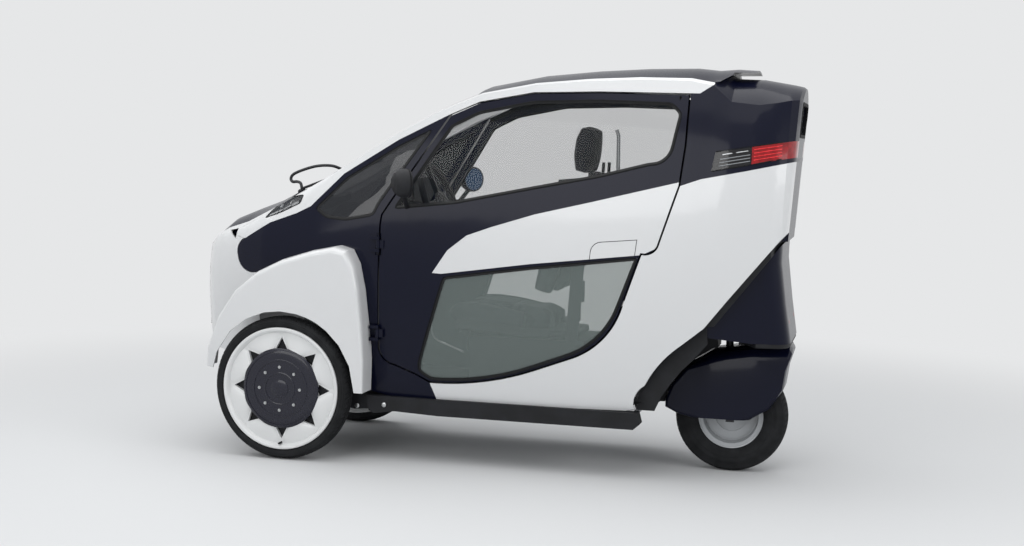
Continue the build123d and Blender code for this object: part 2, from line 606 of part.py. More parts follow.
CAVITY_LOW_Z = 400.0
tail_outer = loft([tail_face(row, 0.0, row.z) for row in TAIL_ROWS], ruled=True)
cavity_faces = [tail_face(TAIL_ROWS[0], TAIL_WALL, CAVITY_LOW_Z)]
cavity_faces += [tail_face(row, TAIL_WALL, row.z) for row in TAIL_ROWS]
tail_inner = loft(cavity_faces, ruled=True) & side_prism(TAIL_CAVITY_OUTLINE, -FAR_Y, FAR_Y)
tail_lower = (tail_outer & side_prism(TAIL_LOWER_OUTLINE, -FAR_Y, FAR_Y)) - tail_inner
rear_wall = shell & block(-FAR_X, TAIL_X + 2 * WALL, -TAIL_HALF_W, TAIL_HALF_W, 866.3, FAR_Z)
tail_lower = (tail_lower + (rear_wall - tail_prism)) - tub
HEAD_X = (STEER_X - 40.0, STEER_X + 40.0)
HEAD_HALF_W = 50.0
HEAD_LOW_Z = 500.0
STEM_R = 14.0
head = block(HEAD_X[0], HEAD_X[1], -HEAD_HALF_W, HEAD_HALF_W, HEAD_LOW_Z, DECK_Z - FLOOR_T)
head = head - pin_z(STEM_R + RUN_FIT, STEER_X, 0, HEAD_LOW_Z - 10, DECK_Z - FLOOR_T - 3)
tail_lower = tail_lower - block(HEAD_X[0], HEAD_X[1], -HEAD_HALF_W, HEAD_HALF_W, CAVITY_LOW_Z, DECK_Z + 10)
for part in both(rear_quarter):
    tail_lower = tail_lower - part
save("tail_lower", tail_lower)
save("rear_frame", head)

# Front frame with its lean unit and the links to the arms
LOWER_ARM_Z = 215.0
UPPER_ARM_Z = 330.0
ARM_R = 11.0
FRAME_HALF_W = 95.0
KNUCKLE_Y = 318.0
KNUCKLE_IN_Y = KNUCKLE_Y - 14.0
FRAME_FRONT_X = 830.0
frame_front = block(600, FRAME_FRONT_X, -FRAME_HALF_W, FRAME_HALF_W, 180, 360)
frame_front = frame_front + block(560, 600, -FRAME_HALF_W, FRAME_HALF_W, 180, 600)
frame_front = frame_front + block(430, 600, -60, 60, 500, 560)
TOW_HOLE_R = 8.0
TOW_HOLE_L = 30.0
TOW_HOLE_Y = 60.0
TOW_HOLE_Z = 220.0
frame_front = frame_front - rod(
    TOW_HOLE_R, (FRAME_FRONT_X - TOW_HOLE_L, TOW_HOLE_Y, TOW_HOLE_Z), (FRAME_FRONT_X + 10, TOW_HOLE_Y, TOW_HOLE_Z)
)
save("front_frame", frame_front)
ROCKER_X = (798.0, 812.0)
ROCKER_HALF_W = 150.0
LINK_Y = 140.0
LINK_R = 7.0
lean = Pos(720, 0, 430) * Box(110, 120, 140) + rod(18, (775, 0, 440), (ROCKER_X[1], 0, 440))
lean = lean + block(ROCKER_X[0], ROCKER_X[1], -ROCKER_HALF_W, ROCKER_HALF_W, 425, 455)
for sign in (-1, 1):
    lean = lean + rod(LINK_R, (805, sign * LINK_Y, 430), (783, sign * LINK_Y, UPPER_ARM_Z + ARM_R + SEAT_GAP))
save("lean_unit", lean)

ArmRow = namedtuple("ArmRow", "z reach")
ARM_ROWS = (ArmRow(LOWER_ARM_Z, 95.0), ArmRow(UPPER_ARM_Z, 85.0))
ARM_IN_Y = FRAME_HALF_W + SEAT_GAP
arms = []
for row in ARM_ROWS:
    outer_point = (FRONT_AXLE_X, KNUCKLE_IN_Y, row.z)
    arm = rod(ARM_R, (FRONT_AXLE_X + row.reach, ARM_IN_Y, row.z), outer_point)
    arm = arm + rod(ARM_R, (FRONT_AXLE_X - row.reach, ARM_IN_Y, row.z), outer_point)
    arms += both(arm & block(0, FAR_X, ARM_IN_Y, KNUCKLE_IN_Y, 0, FAR_Z))
save("suspension_arms", arms)

# Wheel carriers with motor stators and axles
AXLE_R = 15.0
WHEEL_INNER_Y = 345.0
STATOR_R = 128.0
AXLE_END_Y = 408.0
carrier = block(FRONT_AXLE_X - 26, FRONT_AXLE_X + 26, KNUCKLE_IN_Y + SEAT_GAP, KNUCKLE_Y + 12, 190, 350)
carrier = carrier + pin_y(STATOR_R, FRONT_AXLE_X, KNUCKLE_Y, WHEEL_INNER_Y + 20, FRONT_TYRE_R)
carrier = carrier + pin_y(AXLE_R, FRONT_AXLE_X, WHEEL_INNER_Y, AXLE_END_Y, FRONT_TYRE_R)
save("front_carriers", both(carrier))

# Front wheel, turned about its axle, with spoke windows
RIM_HALF_W = 37.0
rim_rows = (
    (RIM_R, -RIM_HALF_W), (RIM_R, RIM_HALF_W), (RIM_R - 7.0, 39.0), (RIM_R - 14.0, 33.0), (RIM_R - 16.0, 22.0),
    (RIM_R - 22.0, 22.0), (HUB_DISC_R - 16.0, 26.0), (AXLE_R + RUN_FIT, 26.0), (AXLE_R + RUN_FIT, 16.0),
    (HUB_DISC_R - 14.0, 16.0), (HUB_DISC_R - 14.0, 10.0), (RIM_R - 26.0, 10.0), (RIM_R - 26.0, -12.0),
    (RIM_R - 14.0, -33.0), (RIM_R - 7.0, -39.0),
)
rim = wheel_ring(rim_rows, FRONT_AXLE_X, FRONT_WHEEL_Y, FRONT_TYRE_R)
SPOKES = 8
WINDOW_HALF_W = 24.0
WINDOW_TIP = 42.0
window_rows = (
    (-WINDOW_HALF_W, HUB_DISC_R - 3.0), (0.0, HUB_DISC_R + WINDOW_TIP), (WINDOW_HALF_W, HUB_DISC_R - 3.0),
    (0.0, HUB_DISC_R - 9.0),
)
window_face = outline_face([(FRONT_AXLE_X + x, FRONT_TYRE_R + z) for x, z in window_rows], FRONT_WHEEL_Y)
window_cut = extrude(window_face, amount=60.0, dir=(0, 1, 0))
wheel_axis = Axis((FRONT_AXLE_X, 0, FRONT_TYRE_R), (0, 1, 0))
for index in range(SPOKES):
    rim = rim - window_cut.rotate(wheel_axis, index * 360.0 / SPOKES)


def tyre_rows(rim_r, tyre_r, width, shoulder):
    # Half the section from the bead to the crown, then mirrored across the wheel's middle plane
    half = width / 2
    wall = tyre_r - rim_r
    outer_half = (
        (rim_r + SEAT_GAP, half - 8.0), (rim_r + 0.3 * wall, half - 1.0), (rim_r + 0.6 * wall, half),
        (tyre_r - 7.0, half - shoulder), (tyre_r, half - 2.4 * shoulder),
    )
    return outer_half + tuple((radius, -along) for radius, along in reversed(outer_half))


tyre = wheel_ring(
    tyre_rows(RIM_R, FRONT_TYRE_R, FRONT_TYRE_W, 12.0), FRONT_AXLE_X, FRONT_WHEEL_Y, FRONT_TYRE_R
)
hub_rows = (
    (0.0, 26.3), (0.0, 41.0), (60.0, 41.0), (HUB_DISC_R - 12.0, 36.0), (HUB_DISC_R, 30.0), (HUB_DISC_R, 27.0),
    (HUB_DISC_R - 16.0, 26.3),
)
hub = wheel_ring(hub_rows, FRONT_AXLE_X, FRONT_WHEEL_Y, FRONT_TYRE_R)
for name, shape in (("rim_front", rim), ("tyre_front", tyre), ("hub_disc_front", hub)):
    save(name + "_left", shape)
    save(name + "_right", mirror(shape, about=Plane.XZ))


# Front fender, a hollow arch round the wheel
def fender_section(row, thick):
    # A section in the plane through the axle at the row's angle; thick moves its sides inwards
    angle = radians(row.angle)
    out = Vector(cos(angle), 0, sin(angle))
    centre = Vector(FRONT_AXLE_X, 0, FRONT_TYRE_R)
    inner_y = FENDER_IN_Y - 4 * thick
    inner_r = ARCH_R - 4 * thick
    outer_r = ARCH_R + row.height - thick
    side_y = row.side_y - thick
    bend = row.round_r

    def at(radius, y):
        return centre + out * radius + Vector(0, y, 0)

    return Face(Wire([
        Line(at(inner_r, inner_y), at(inner_r, side_y)),
        Line(at(inner_r, side_y), at(outer_r - 0.6 * bend, side_y)),
        Bezier(at(outer_r - 0.6 * bend, side_y), at(outer_r, side_y), at(outer_r, side_y - bend)),
        Line(at(outer_r, side_y - bend), at(outer_r, inner_y)),
        Line(at(outer_r, inner_y), at(inner_r, inner_y)),
    ]))


fender_outer = loft([fender_section(row, 0.0) for row in FENDER_SECTIONS], ruled=True)
fender_inner = loft([fender_section(row, FENDER_T) for row in FENDER_SECTIONS], ruled=True)
save("front_fenders", both(largest(fender_outer - fender_inner - outer)))

# Rear wheel, fork and steered cover
REAR_BORE_R = 10.0
REAR_HUB_R = 40.0
REAR_HUB_HALF_W = 30.0
rear_rim_rows = (
    (REAR_RIM_R, -42.0), (REAR_RIM_R, 42.0), (REAR_RIM_R - 12.0, 40.0), (REAR_RIM_R - 18.0, 8.0),
    (REAR_HUB_R, 8.0), (REAR_HUB_R, REAR_HUB_HALF_W), (REAR_BORE_R + RUN_FIT, REAR_HUB_HALF_W),
    (REAR_BORE_R + RUN_FIT, -REAR_HUB_HALF_W), (REAR_HUB_R, -REAR_HUB_HALF_W), (REAR_HUB_R, -8.0),
    (REAR_RIM_R - 18.0, -8.0), (REAR_RIM_R - 12.0, -40.0),
)
save("rim_rear", wheel_ring(rear_rim_rows, REAR_AXLE_X, 0, REAR_TYRE_R))
rear_tyre = wheel_ring(
    tyre_rows(REAR_RIM_R, REAR_TYRE_R, REAR_TYRE_W, 12.0), REAR_AXLE_X, 0, REAR_TYRE_R
)
save("tyre_rear", rear_tyre)
FORK_LEG_Y = (62.0, 74.0)
FORK_TOP_Z = (424.0, 438.0)
COLLAR_R = 22.0
COLLAR_TOP_Z = 450.8
fork = block(-930, -870, -FORK_LEG_Y[1], FORK_LEG_Y[1], FORK_TOP_Z[0], FORK_TOP_Z[1])
fork = fork + pin_z(STEM_R, STEER_X, 0, FORK_TOP_Z[0] + 10, 560)
fork = fork + pin_z(COLLAR_R, STEER_X, 0, FORK_TOP_Z[0] + 10, COLLAR_TOP_Z)
leg = block(-931, -901, FORK_LEG_Y[0], FORK_LEG_Y[1], 190, FORK_TOP_Z[0] + 10)
for part in both(leg):
    fork = fork + part
fork = fork + pin_y(REAR_BORE_R, REAR_AXLE_X, -FORK_LEG_Y[0] - 4, FORK_LEG_Y[0] + 4, REAR_TYRE_R)
save("rear_fork", fork)


def cover_face(ring, side_sign, thick):
    # The cover's outline at one distance from the middle, with its top points lowered
    points = inset_points(list(REAR_COVER_OUTLINE), ring.inset + thick)
    lowered = [
        (x, z - ring.top_drop if 0 < index < COVER_TOP_POINTS else z) for index, (x, z) in enumerate(points)
    ]
    return outline_face(lowered, side_sign * (ring.side_y - thick))


def cover_loft(thick):
    faces = [cover_face(ring, 1, thick) for ring in COVER_RINGS]
    faces += [cover_face(ring, -1, thick) for ring in reversed(COVER_RINGS)]
    return loft(faces, ruled=True)


COVER_OPEN_Z = 205.0
cover = cover_loft(0.0) - cover_loft(COVER_T) - block(-FAR_X, 0, -FAR_Y, FAR_Y, 0, COVER_OPEN_Z)
cover = cover - pin_y(REAR_TYRE_R + 14, REAR_AXLE_X, -90, 90, REAR_TYRE_R)
cover = cover - pin_z(STEM_R + 2, STEER_X, 0, 400, 560)
save("rear_wheel_cover", cover)

# Seats, dashboard, pedals and steering wheel
FRONT_SEAT_HALF_W = 205.0
front_seat_rows = (
    (148.0, 500.0), (146.0, 562.0, 116.0, 586.0), (-180.0, 556.0), (-262.0, 580.0, -300.0, 690.0), (-372.0, 1040.0),
    (-372.0, 1180.0), (-380.0, 1262.0, -424.0, 1272.0), (-470.0, 1262.0, -474.0, 1180.0), (-470.0, 1040.0),
    (-400.0, 560.0), (-380.0, SEAT_BASE_Z), (100.0, SEAT_BASE_Z),
)
save("front_seat", side_prism(front_seat_rows, -FRONT_SEAT_HALF_W, FRONT_SEAT_HALF_W))
REAR_SEAT_HALF_W = 190.0
rear_seat_rows = (
    (-625.0, DECK_Z + SEAT_GAP), (-622.0, 655.0, -650.0, 662.0), (-800.0, 648.0), (-870.0, 660.0, -895.0, 730.0),
    (-985.0, 1130.0), (-996.0, 1158.0, -1024.0, 1158.0), (-1040.0, 1140.0), (-1030.0, 815.0),
    (-860.0, DECK_Z + SEAT_GAP),
)
save("rear_seat", side_prism(rear_seat_rows, -REAR_SEAT_HALF_W, REAR_SEAT_HALF_W))
COLUMN_R = 12.0
GRIP_RING_R = 170.0
GRIP_R = 13.0
GRIP_SIDES = 10
SPOKE_HALF_W = 9.0
wheel_centre = Vector(230, 0, 950)
column_dir = Vector(150, 0, -60).normalized()
column_plane = Plane(origin=wheel_centre, z_dir=column_dir)
dash_rows = (
    (560.0, 800.0), (560.0, 925.0), (520.0, 962.0, 470.0, 962.0), (400.0, 940.0), (384.0, 925.0, 380.0, 900.0),
    (400.0, 800.0),
)
column_bore = column_plane.location * pin_z(COLUMN_R + RUN_FIT, 0, 0, 50, 240)
save("dashboard", (side_prism(dash_rows, -FAR_Y, FAR_Y) & inner) - column_bore)
PEDAL_FACE_X = (376.0, 390.0)
PEDAL_ARM_X = (390.0, 404.0)
PedalRow = namedtuple("PedalRow", "low_y high_y")
pedals = []
for row in (PedalRow(-110.0, -50.0), PedalRow(35.0, 95.0)):
    middle = (row.low_y + row.high_y) / 2
    pad = block(PEDAL_FACE_X[0], PEDAL_FACE_X[1], row.low_y, row.high_y, 330, 400)
    pedals.append(pad + block(PEDAL_ARM_X[0], PEDAL_ARM_X[1], middle - 10, middle + 10, 350, 380))
save("pedals", pedals)
grip_points = [
    Vector(GRIP_RING_R + GRIP_R * cos(radians(angle)), 0, GRIP_R * sin(radians(angle)))
    for angle in range(0, 360, 360 // GRIP_SIDES)
]
grip = revolve(Face(Wire.make_polygon(grip_points, close=True)), Axis.Z, 360)
steering = grip + pin_z(30, 0, 0, 0, 60) + pin_z(COLUMN_R, 0, 0, 0, 215)
steering = steering + block(-166, 166, -SPOKE_HALF_W, SPOKE_HALF_W, -SPOKE_HALF_W, SPOKE_HALF_W)
steering = steering + block(-SPOKE_HALF_W, SPOKE_HALF_W, -166, 0, -SPOKE_HALF_W, SPOKE_HALF_W)
save("steering_wheel", column_plane.location * steering)

# Wiper
WIPER_X = (772.0, 650.0)
WIPER_Y = (90.0, -60.0)
wiper_foot_z = roof_height(WIPER_X[0], WIPER_Y[0])
wiper_tip = (WIPER_X[1], WIPER_Y[1], roof_height(WIPER_X[1], WIPER_Y[1]) + 9.0)
wiper = pin_z(9, WIPER_X[0], WIPER_Y[0], wiper_foot_z - 10, wiper_foot_z + 14) - outer
save("wiper", wiper + rod(5, (WIPER_X[0], WIPER_Y[0], wiper_foot_z + 11), wiper_tip))

# Round mirror on a stalk, its glass side turned towards the driver
MIRROR_CENTRE = Vector(240, 425, 1044)
MIRROR_TURN = 35.0
MIRROR_STALK_R = 9.0
mirror_rows = (
    (0.0, 40.0), (20.0, 39.0), (36.0, 31.0), (47.0, 17.0), (52.0, 0.0), (52.0, -14.0), (46.0, -20.0), (0.0, -20.0),
)
mirror_axis = Vector(cos(radians(MIRROR_TURN)), sin(radians(MIRROR_TURN)), 0)
mirror_plane = Plane(origin=MIRROR_CENTRE, x_dir=(0, 0, 1), z_dir=mirror_axis)
mirror_face = Face(Wire.make_polygon([Vector(radius, 0, along) for radius, along in mirror_rows], close=True))
pod = mirror_plane.location * revolve(mirror_face, Axis.Z, 360)
pod = pod + rod(MIRROR_STALK_R, (240, 423, 1010), (262, 300, 938)) - outer
save("door_mirror_left", pod)
save("door_mirror_right", mirror(pod, about=Plane.XZ))
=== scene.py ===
# %% [markdown]
# # A narrow three wheeled car
# The CAD frame gives every panel, wheel and joint at its real size. This file dresses that frame: it finishes
# the surfaces, adds what is too small or too soft for the CAD model, and sets the light and the camera.

# %% Load the frame
import json
import math

import bmesh
import bpy
from mathutils import Matrix, Vector
from mathutils.bvhtree import BVHTree


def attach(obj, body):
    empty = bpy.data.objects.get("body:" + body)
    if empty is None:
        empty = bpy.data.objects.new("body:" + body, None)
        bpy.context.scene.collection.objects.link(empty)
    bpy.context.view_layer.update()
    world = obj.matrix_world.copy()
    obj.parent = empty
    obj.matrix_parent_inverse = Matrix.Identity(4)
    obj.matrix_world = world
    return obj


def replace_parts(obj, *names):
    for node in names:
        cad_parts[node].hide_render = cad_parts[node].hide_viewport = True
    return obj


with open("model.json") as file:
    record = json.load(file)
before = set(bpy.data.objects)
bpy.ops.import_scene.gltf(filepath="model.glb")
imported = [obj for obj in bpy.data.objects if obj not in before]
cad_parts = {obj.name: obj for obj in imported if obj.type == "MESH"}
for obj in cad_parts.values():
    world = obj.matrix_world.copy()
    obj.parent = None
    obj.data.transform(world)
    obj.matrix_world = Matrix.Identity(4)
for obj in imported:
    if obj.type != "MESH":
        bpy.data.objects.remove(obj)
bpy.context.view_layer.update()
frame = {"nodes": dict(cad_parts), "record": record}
nodes = frame["nodes"]
MM = 0.001


# %% [markdown]
# ## Colours and node helpers
# A finish is written as the sRGB hex value that the eye sees, and one function turns it to the linear values
# that the shader works in. One more function adds a node with its settings and links.

# %% Colour and node helpers
def linear(hex_value):
    parts = [int(hex_value[i:i + 2], 16) / 255 for i in (1, 3, 5)]
    return tuple(c / 12.92 if c <= 0.04045 else ((c + 0.055) / 1.055) ** 2.4 for c in parts) + (1.0,)


def add_node(tree, kind, settings=None, inputs=None, links=None):
    node = tree.nodes.new(kind)
    for key, value in (settings or {}).items():
        setattr(node, key, value)
    for key, value in (inputs or {}).items():
        node.inputs[key].default_value = value
    for key, source in (links or {}).items():
        tree.links.new(source, node.inputs[key])
    return node


def finish_base(name, colour, roughness, metallic=0.0, extra=None):
    material = bpy.data.materials.new(name)
    material.use_nodes = True
    tree = material.node_tree
    tree.nodes.clear()
    shader = add_node(tree, "ShaderNodeBsdfPrincipled", inputs={
        "Base Color": linear(colour), "Roughness": roughness, "Metallic": metallic, "IOR": 1.5, **(extra or {}),
    })
    add_node(tree, "ShaderNodeOutputMaterial", links={"Surface": shader.outputs[0]})
    return material, tree, shader


def noise_of(tree, size_mm, detail=3.0):
    place = add_node(tree, "ShaderNodeTexCoord")
    return add_node(
        tree, "ShaderNodeTexNoise", inputs={"Scale": 1000.0 / size_mm, "Detail": detail},
        links={"Vector": place.outputs["Object"]},
    )


def grain(tree, shader, size_mm, depth_mm, detail=3.0, strength=0.4):
    noise = noise_of(tree, size_mm, detail)
    bump = add_node(
        tree, "ShaderNodeBump", inputs={"Strength": strength, "Distance": depth_mm * MM},
        links={"Height": noise.outputs[0]},
    )
    tree.links.new(bump.outputs[0], shader.inputs["Normal"])
    return noise


def mottled(tree, shader, size_mm, dark, light):
    # Slow drift between two near colours, as dust and handling leave on a moulded surface
    noise = noise_of(tree, size_mm, 2.0)
    ramp = add_node(tree, "ShaderNodeMapRange", inputs={"From Min": 0.35, "From Max": 0.65}, links={
        "Value": noise.outputs[0],
    })
    mix = add_node(tree, "ShaderNodeMix", {"data_type": "RGBA"}, {6: linear(dark), 7: linear(light)}, {
        0: ramp.outputs[0],
    })
    tree.links.new(mix.outputs[2], shader.inputs["Base Color"])


def rough_spread(tree, shader, size_mm, low, high):
    noise = noise_of(tree, size_mm, 2.0)
    spread = add_node(
        tree, "ShaderNodeMapRange", inputs={"From Min": 0.3, "From Max": 0.7, "To Min": low, "To Max": high},
        links={"Value": noise.outputs[0]},
    )
    tree.links.new(spread.outputs[0], shader.inputs["Roughness"])


def finish(
    name, colour, roughness, metallic=0.0, specular=0.5, coat=0.0, alpha=1.0, relief=None, drift=None, spread=None,
):
    # A plain finish, with a relief (size, depth), a drift of colour and a spread of roughness where they are given
    material, tree, shader = finish_base(name, colour, roughness, metallic, {
        "Specular IOR Level": specular, "Coat Weight": coat, "Alpha": alpha,
    })
    if relief:
        grain(tree, shader, *relief)
    if drift:
        mottled(tree, shader, *drift)
    if spread:
        rough_spread(tree, shader, *spread)
    return material


print("helpers ready, white is", linear("#FFFFFF")[:3])


# %% [markdown]
# ## Paints
# The body is injection moulded plastic panels under clear coated paint: a pearl white with fine mica, and a very
# dark navy. Real mica is under 0.1 mm, so it is drawn as a 1.2 mm drift in roughness, coarse enough to show.
# The clear coat carries most of the gloss, so the colour layer below it keeps a low specular level.

# %% Paints
def paint(name, colour, mica_mm, base_roughness, coat, specular):
    material, tree, shader = finish_base(name, colour, base_roughness, 0.0, {
        "Coat Weight": coat, "Coat Roughness": 0.09, "Coat IOR": 1.5, "Specular IOR Level": specular,
    })
    rough_spread(tree, shader, mica_mm, base_roughness - 0.05, base_roughness + 0.05)
    return material


PEARL_HEX, NAVY_HEX = "#D9DADB", "#0A0D20"
pearl_paint = paint("pearl_white_paint", PEARL_HEX, 1.2, 0.36, 0.8, 0.4)
navy_paint = paint("dark_navy_paint", NAVY_HEX, 0.8, 0.3, 0.22, 0.08)
wheel_paint = paint("wheel_white_enamel", "#DDDEDE", 1.2, 0.38, 0.6, 0.4)
silver_paint = paint("silver_wheel_enamel", "#A4A7AA", 1.2, 0.38, 0.5, 0.5)
print("paints", pearl_paint.name, navy_paint.name)

# %% [markdown]
# ## Plastics, metals, rubber and cloth
# Moulded ABS has a fine spark eroded grain. Coated steel and cast aluminium are rougher and carry a slow drift
# of dust. Vulcanised rubber is nearly black with a grey bloom.

# %% Plastics, metals and rubber
abs_black = finish(
    "moulded_black_abs", "#131417", 0.6, specular=0.3, relief=(1.2, 0.05), drift=(70.0, "#111215", "#1A1B1F"),
)
gloss_navy = finish("gloss_navy_abs", "#171826", 0.26, specular=0.25, coat=0.4, spread=(6.0, 0.22, 0.32))
steel = finish("black_coated_steel", "#2A2B2E", 0.5, 0.3, relief=(1.8, 0.06))
casting = finish("sand_cast_aluminium", "#85888B", 0.5, 1.0, relief=(1.8, 0.12), spread=(14.0, 0.42, 0.58))
tyre_rubber = finish(
    "vulcanised_rubber", "#17181A", 0.8, specular=0.25, relief=(1.6, 0.08), drift=(45.0, "#151618", "#202123"),
)
seal_rubber = finish("extruded_seal_rubber", "#0D0E10", 0.7, specular=0.2, spread=(9.0, 0.62, 0.78))
mirror_glass = finish("silvered_mirror", "#4E6078", 0.03, 1.0, spread=(30.0, 0.02, 0.05))
bright_trim = finish("satin_bright_trim", "#C2C4C6", 0.28, 1.0, spread=(3.0, 0.22, 0.36))
zinc_steel = finish("zinc_plated_steel", "#B3B5B6", 0.32, 1.0, spread=(5.0, 0.26, 0.4))
frit_black = finish("fired_black_enamel", "#0A0B0D", 0.35, specular=0.3, spread=(4.0, 0.3, 0.42))
print("moulded and metal finishes ready")


# %% [markdown]
# ## Woven cloth
# The seats are a dark woven polyester. Threads are about 0.6 mm apart, drawn at 2.2 mm so that they show.
# Crossed waves give the weave its relief, and sheen gives the soft edge that cloth has against the light.

# %% Woven cloth
def weave(name, colour, light, thread_mm, relief_mm, sheen):
    material, tree, shader = finish_base(name, colour, 0.92, extra={
        "Sheen Weight": sheen, "Specular IOR Level": 0.2,
    })
    place = add_node(tree, "ShaderNodeTexCoord")
    waves = []
    for direction in ("X", "Y", "Z"):
        waves.append(add_node(
            tree, "ShaderNodeTexWave", {"bands_direction": direction},
            {"Scale": 1000.0 / (thread_mm * 3.0), "Distortion": 0.6, "Detail": 1.0},
            {"Vector": place.outputs["Object"]},
        ))
    cross = add_node(tree, "ShaderNodeMath", {"operation": "MAXIMUM"}, links={
        0: waves[0].outputs["Fac"], 1: waves[1].outputs["Fac"],
    })
    cross = add_node(tree, "ShaderNodeMath", {"operation": "ADD"}, links={
        0: cross.outputs[0], 1: waves[2].outputs["Fac"],
    })
    bump = add_node(tree, "ShaderNodeBump", inputs={"Strength": 0.5, "Distance": relief_mm * MM}, links={
        "Height": cross.outputs[0],
    })
    tree.links.new(bump.outputs[0], shader.inputs["Normal"])
    mottled(tree, shader, 26.0, colour, light)
    return material


seat_cloth = weave("woven_seat_cloth", "#1B1D23", "#262930", 2.2, 0.25, 0.25)
belt_web = weave("seat_belt_webbing", "#15161A", "#1D1E22", 1.6, 0.2, 0.1)
roof_felt = weave("needled_roof_felt", "#A9ABAC", "#B7B9BA", 3.0, 0.2, 0.1)
print("cloths", seat_cloth.name, belt_web.name, roof_felt.name)


# %% [markdown]
# ## Glass and lenses
# Tempered panes are a few millimetres thick. A clear pane with a weak grey tint lets the cabin show, and its
# reflections come from the shader. The low door panes are tinted grey green, so one finish changes with height.

# %% Glass and lenses
CLEAR_ALPHA, TINT_ALPHA, TINT_LOW_Z, TINT_HIGH_Z = 0.12, 0.30, 0.80, 0.94
PANE_HEX, TINT_HEX = "#20262A", "#8C9895"
cabin_glass = finish("tempered_cabin_glass", PANE_HEX, 0.0, alpha=CLEAR_ALPHA, spread=(120.0, 0.0, 0.02))
quarter_pane = finish("dark_quarter_glass", "#1B1E24", 0.0, alpha=0.80, spread=(120.0, 0.0, 0.02))
lamp_glass = finish("clear_polycarbonate", "#30353B", 0.0, alpha=0.42, spread=(60.0, 0.0, 0.03))
ribbed_clear = finish("ribbed_clear_lens", "#101114", 0.08, alpha=0.85, spread=(8.0, 0.05, 0.12))
red_lens = finish("red_acrylic_lens", "#8E0A12", 0.12, specular=0.25, coat=0.35, drift=(18.0, "#7E070E", "#9C0C15"))
door_pane, tree, shader = finish_base("two_tone_door_glass", PANE_HEX, 0.0, extra={"Alpha": CLEAR_ALPHA})
place = add_node(tree, "ShaderNodeTexCoord")
height = add_node(tree, "ShaderNodeSeparateXYZ", links={0: place.outputs["Object"]})
rise, part_way = (
    add_node(tree, "ShaderNodeMapRange", inputs={
        "From Min": TINT_LOW_Z, "From Max": TINT_HIGH_Z, "To Min": low, "To Max": high,
    }, links={"Value": height.outputs["Z"]})
    for low, high in ((TINT_ALPHA, CLEAR_ALPHA), (0.0, 1.0))
)
tree.links.new(rise.outputs[0], shader.inputs["Alpha"])
tint = add_node(tree, "ShaderNodeMix", {"data_type": "RGBA"}, {6: linear(TINT_HEX), 7: linear(PANE_HEX)}, {
    0: part_way.outputs[0],
})
tree.links.new(tint.outputs[2], shader.inputs["Base Color"])
print("glass alphas", CLEAR_ALPHA, TINT_ALPHA)

# %% [markdown]
# ## Dress the CAD nodes
# A CAD node comes as loose triangles. A small Geometry Nodes tree joins its corners and shades it smooth up to a
# set angle, so the body's straight rulings read as one curve while panel edges stay crisp.

# %% Smooth shading tree
SMOOTH_ANGLE = math.radians(24)
JOIN_GAP = 0.02 * MM


def new_group(name, inputs):
    tree = bpy.data.node_groups.new(name, "GeometryNodeTree")
    tree.interface.new_socket("Geometry", in_out="INPUT", socket_type="NodeSocketGeometry")
    for label, kind, value in inputs:
        socket = tree.interface.new_socket(label, in_out="INPUT", socket_type="NodeSocket" + kind)
        if value is not None:
            socket.default_value = value
    tree.interface.new_socket("Geometry", in_out="OUTPUT", socket_type="NodeSocketGeometry")
    return tree, add_node(tree, "NodeGroupInput")


tree, start = new_group("join_and_smooth", (
    ("Merge Distance", "Float", JOIN_GAP), ("Edge Angle", "Float", SMOOTH_ANGLE),
))
merge = add_node(tree, "GeometryNodeMergeByDistance", links={
    "Geometry": start.outputs["Geometry"], "Distance": start.outputs["Merge Distance"],
})
faces = add_node(tree, "GeometryNodeSetShadeSmooth", {"domain": "FACE"}, {"Shade Smooth": True}, {
    "Geometry": merge.outputs[0],
})
turn = add_node(tree, "GeometryNodeInputMeshEdgeAngle")
sharp = add_node(tree, "FunctionNodeCompare", {"operation": "GREATER_THAN"}, links={
    0: turn.outputs["Unsigned Angle"], 1: start.outputs["Edge Angle"],
})
edges = add_node(tree, "GeometryNodeSetShadeSmooth", {"domain": "EDGE"}, {"Shade Smooth": False}, {
    "Geometry": faces.outputs[0], "Selection": sharp.outputs[0],
})
add_node(tree, "NodeGroupOutput", links={"Geometry": edges.outputs[0]})
join_and_smooth = tree
print("smoothing up to", round(math.degrees(SMOOTH_ANGLE)), "degrees")

# %% Finishes by node
SLOT_FINISH = {
    "navy_paint": navy_paint, "pearl_paint": pearl_paint, "wheel_white": wheel_paint, "silver_paint": silver_paint,
    "glass": cabin_glass, "clear_lens": lamp_glass, "red_lens": red_lens, "black_plastic": abs_black,
    "navy_plastic": gloss_navy, "grey_casting": casting, "dark_steel": steel, "tyre_rubber": tyre_rubber,
    "seat_cloth": seat_cloth,
}
PANE_FINISH = {
    "door_glass_left": door_pane, "door_glass_right": door_pane, "side_and_rear_glass": quarter_pane,
    "front_carriers": steel,
}
node_slot = {row["node"]: row["material_slot"] for row in frame["record"]["subparts"]}
for name, node in nodes.items():
    node.data.materials.clear()
    node.data.materials.append(PANE_FINISH.get(name) or SLOT_FINISH[node_slot[name]])
    node.modifiers.new("join_and_smooth", "NODES").node_group = join_and_smooth
print("finished nodes", len(nodes))
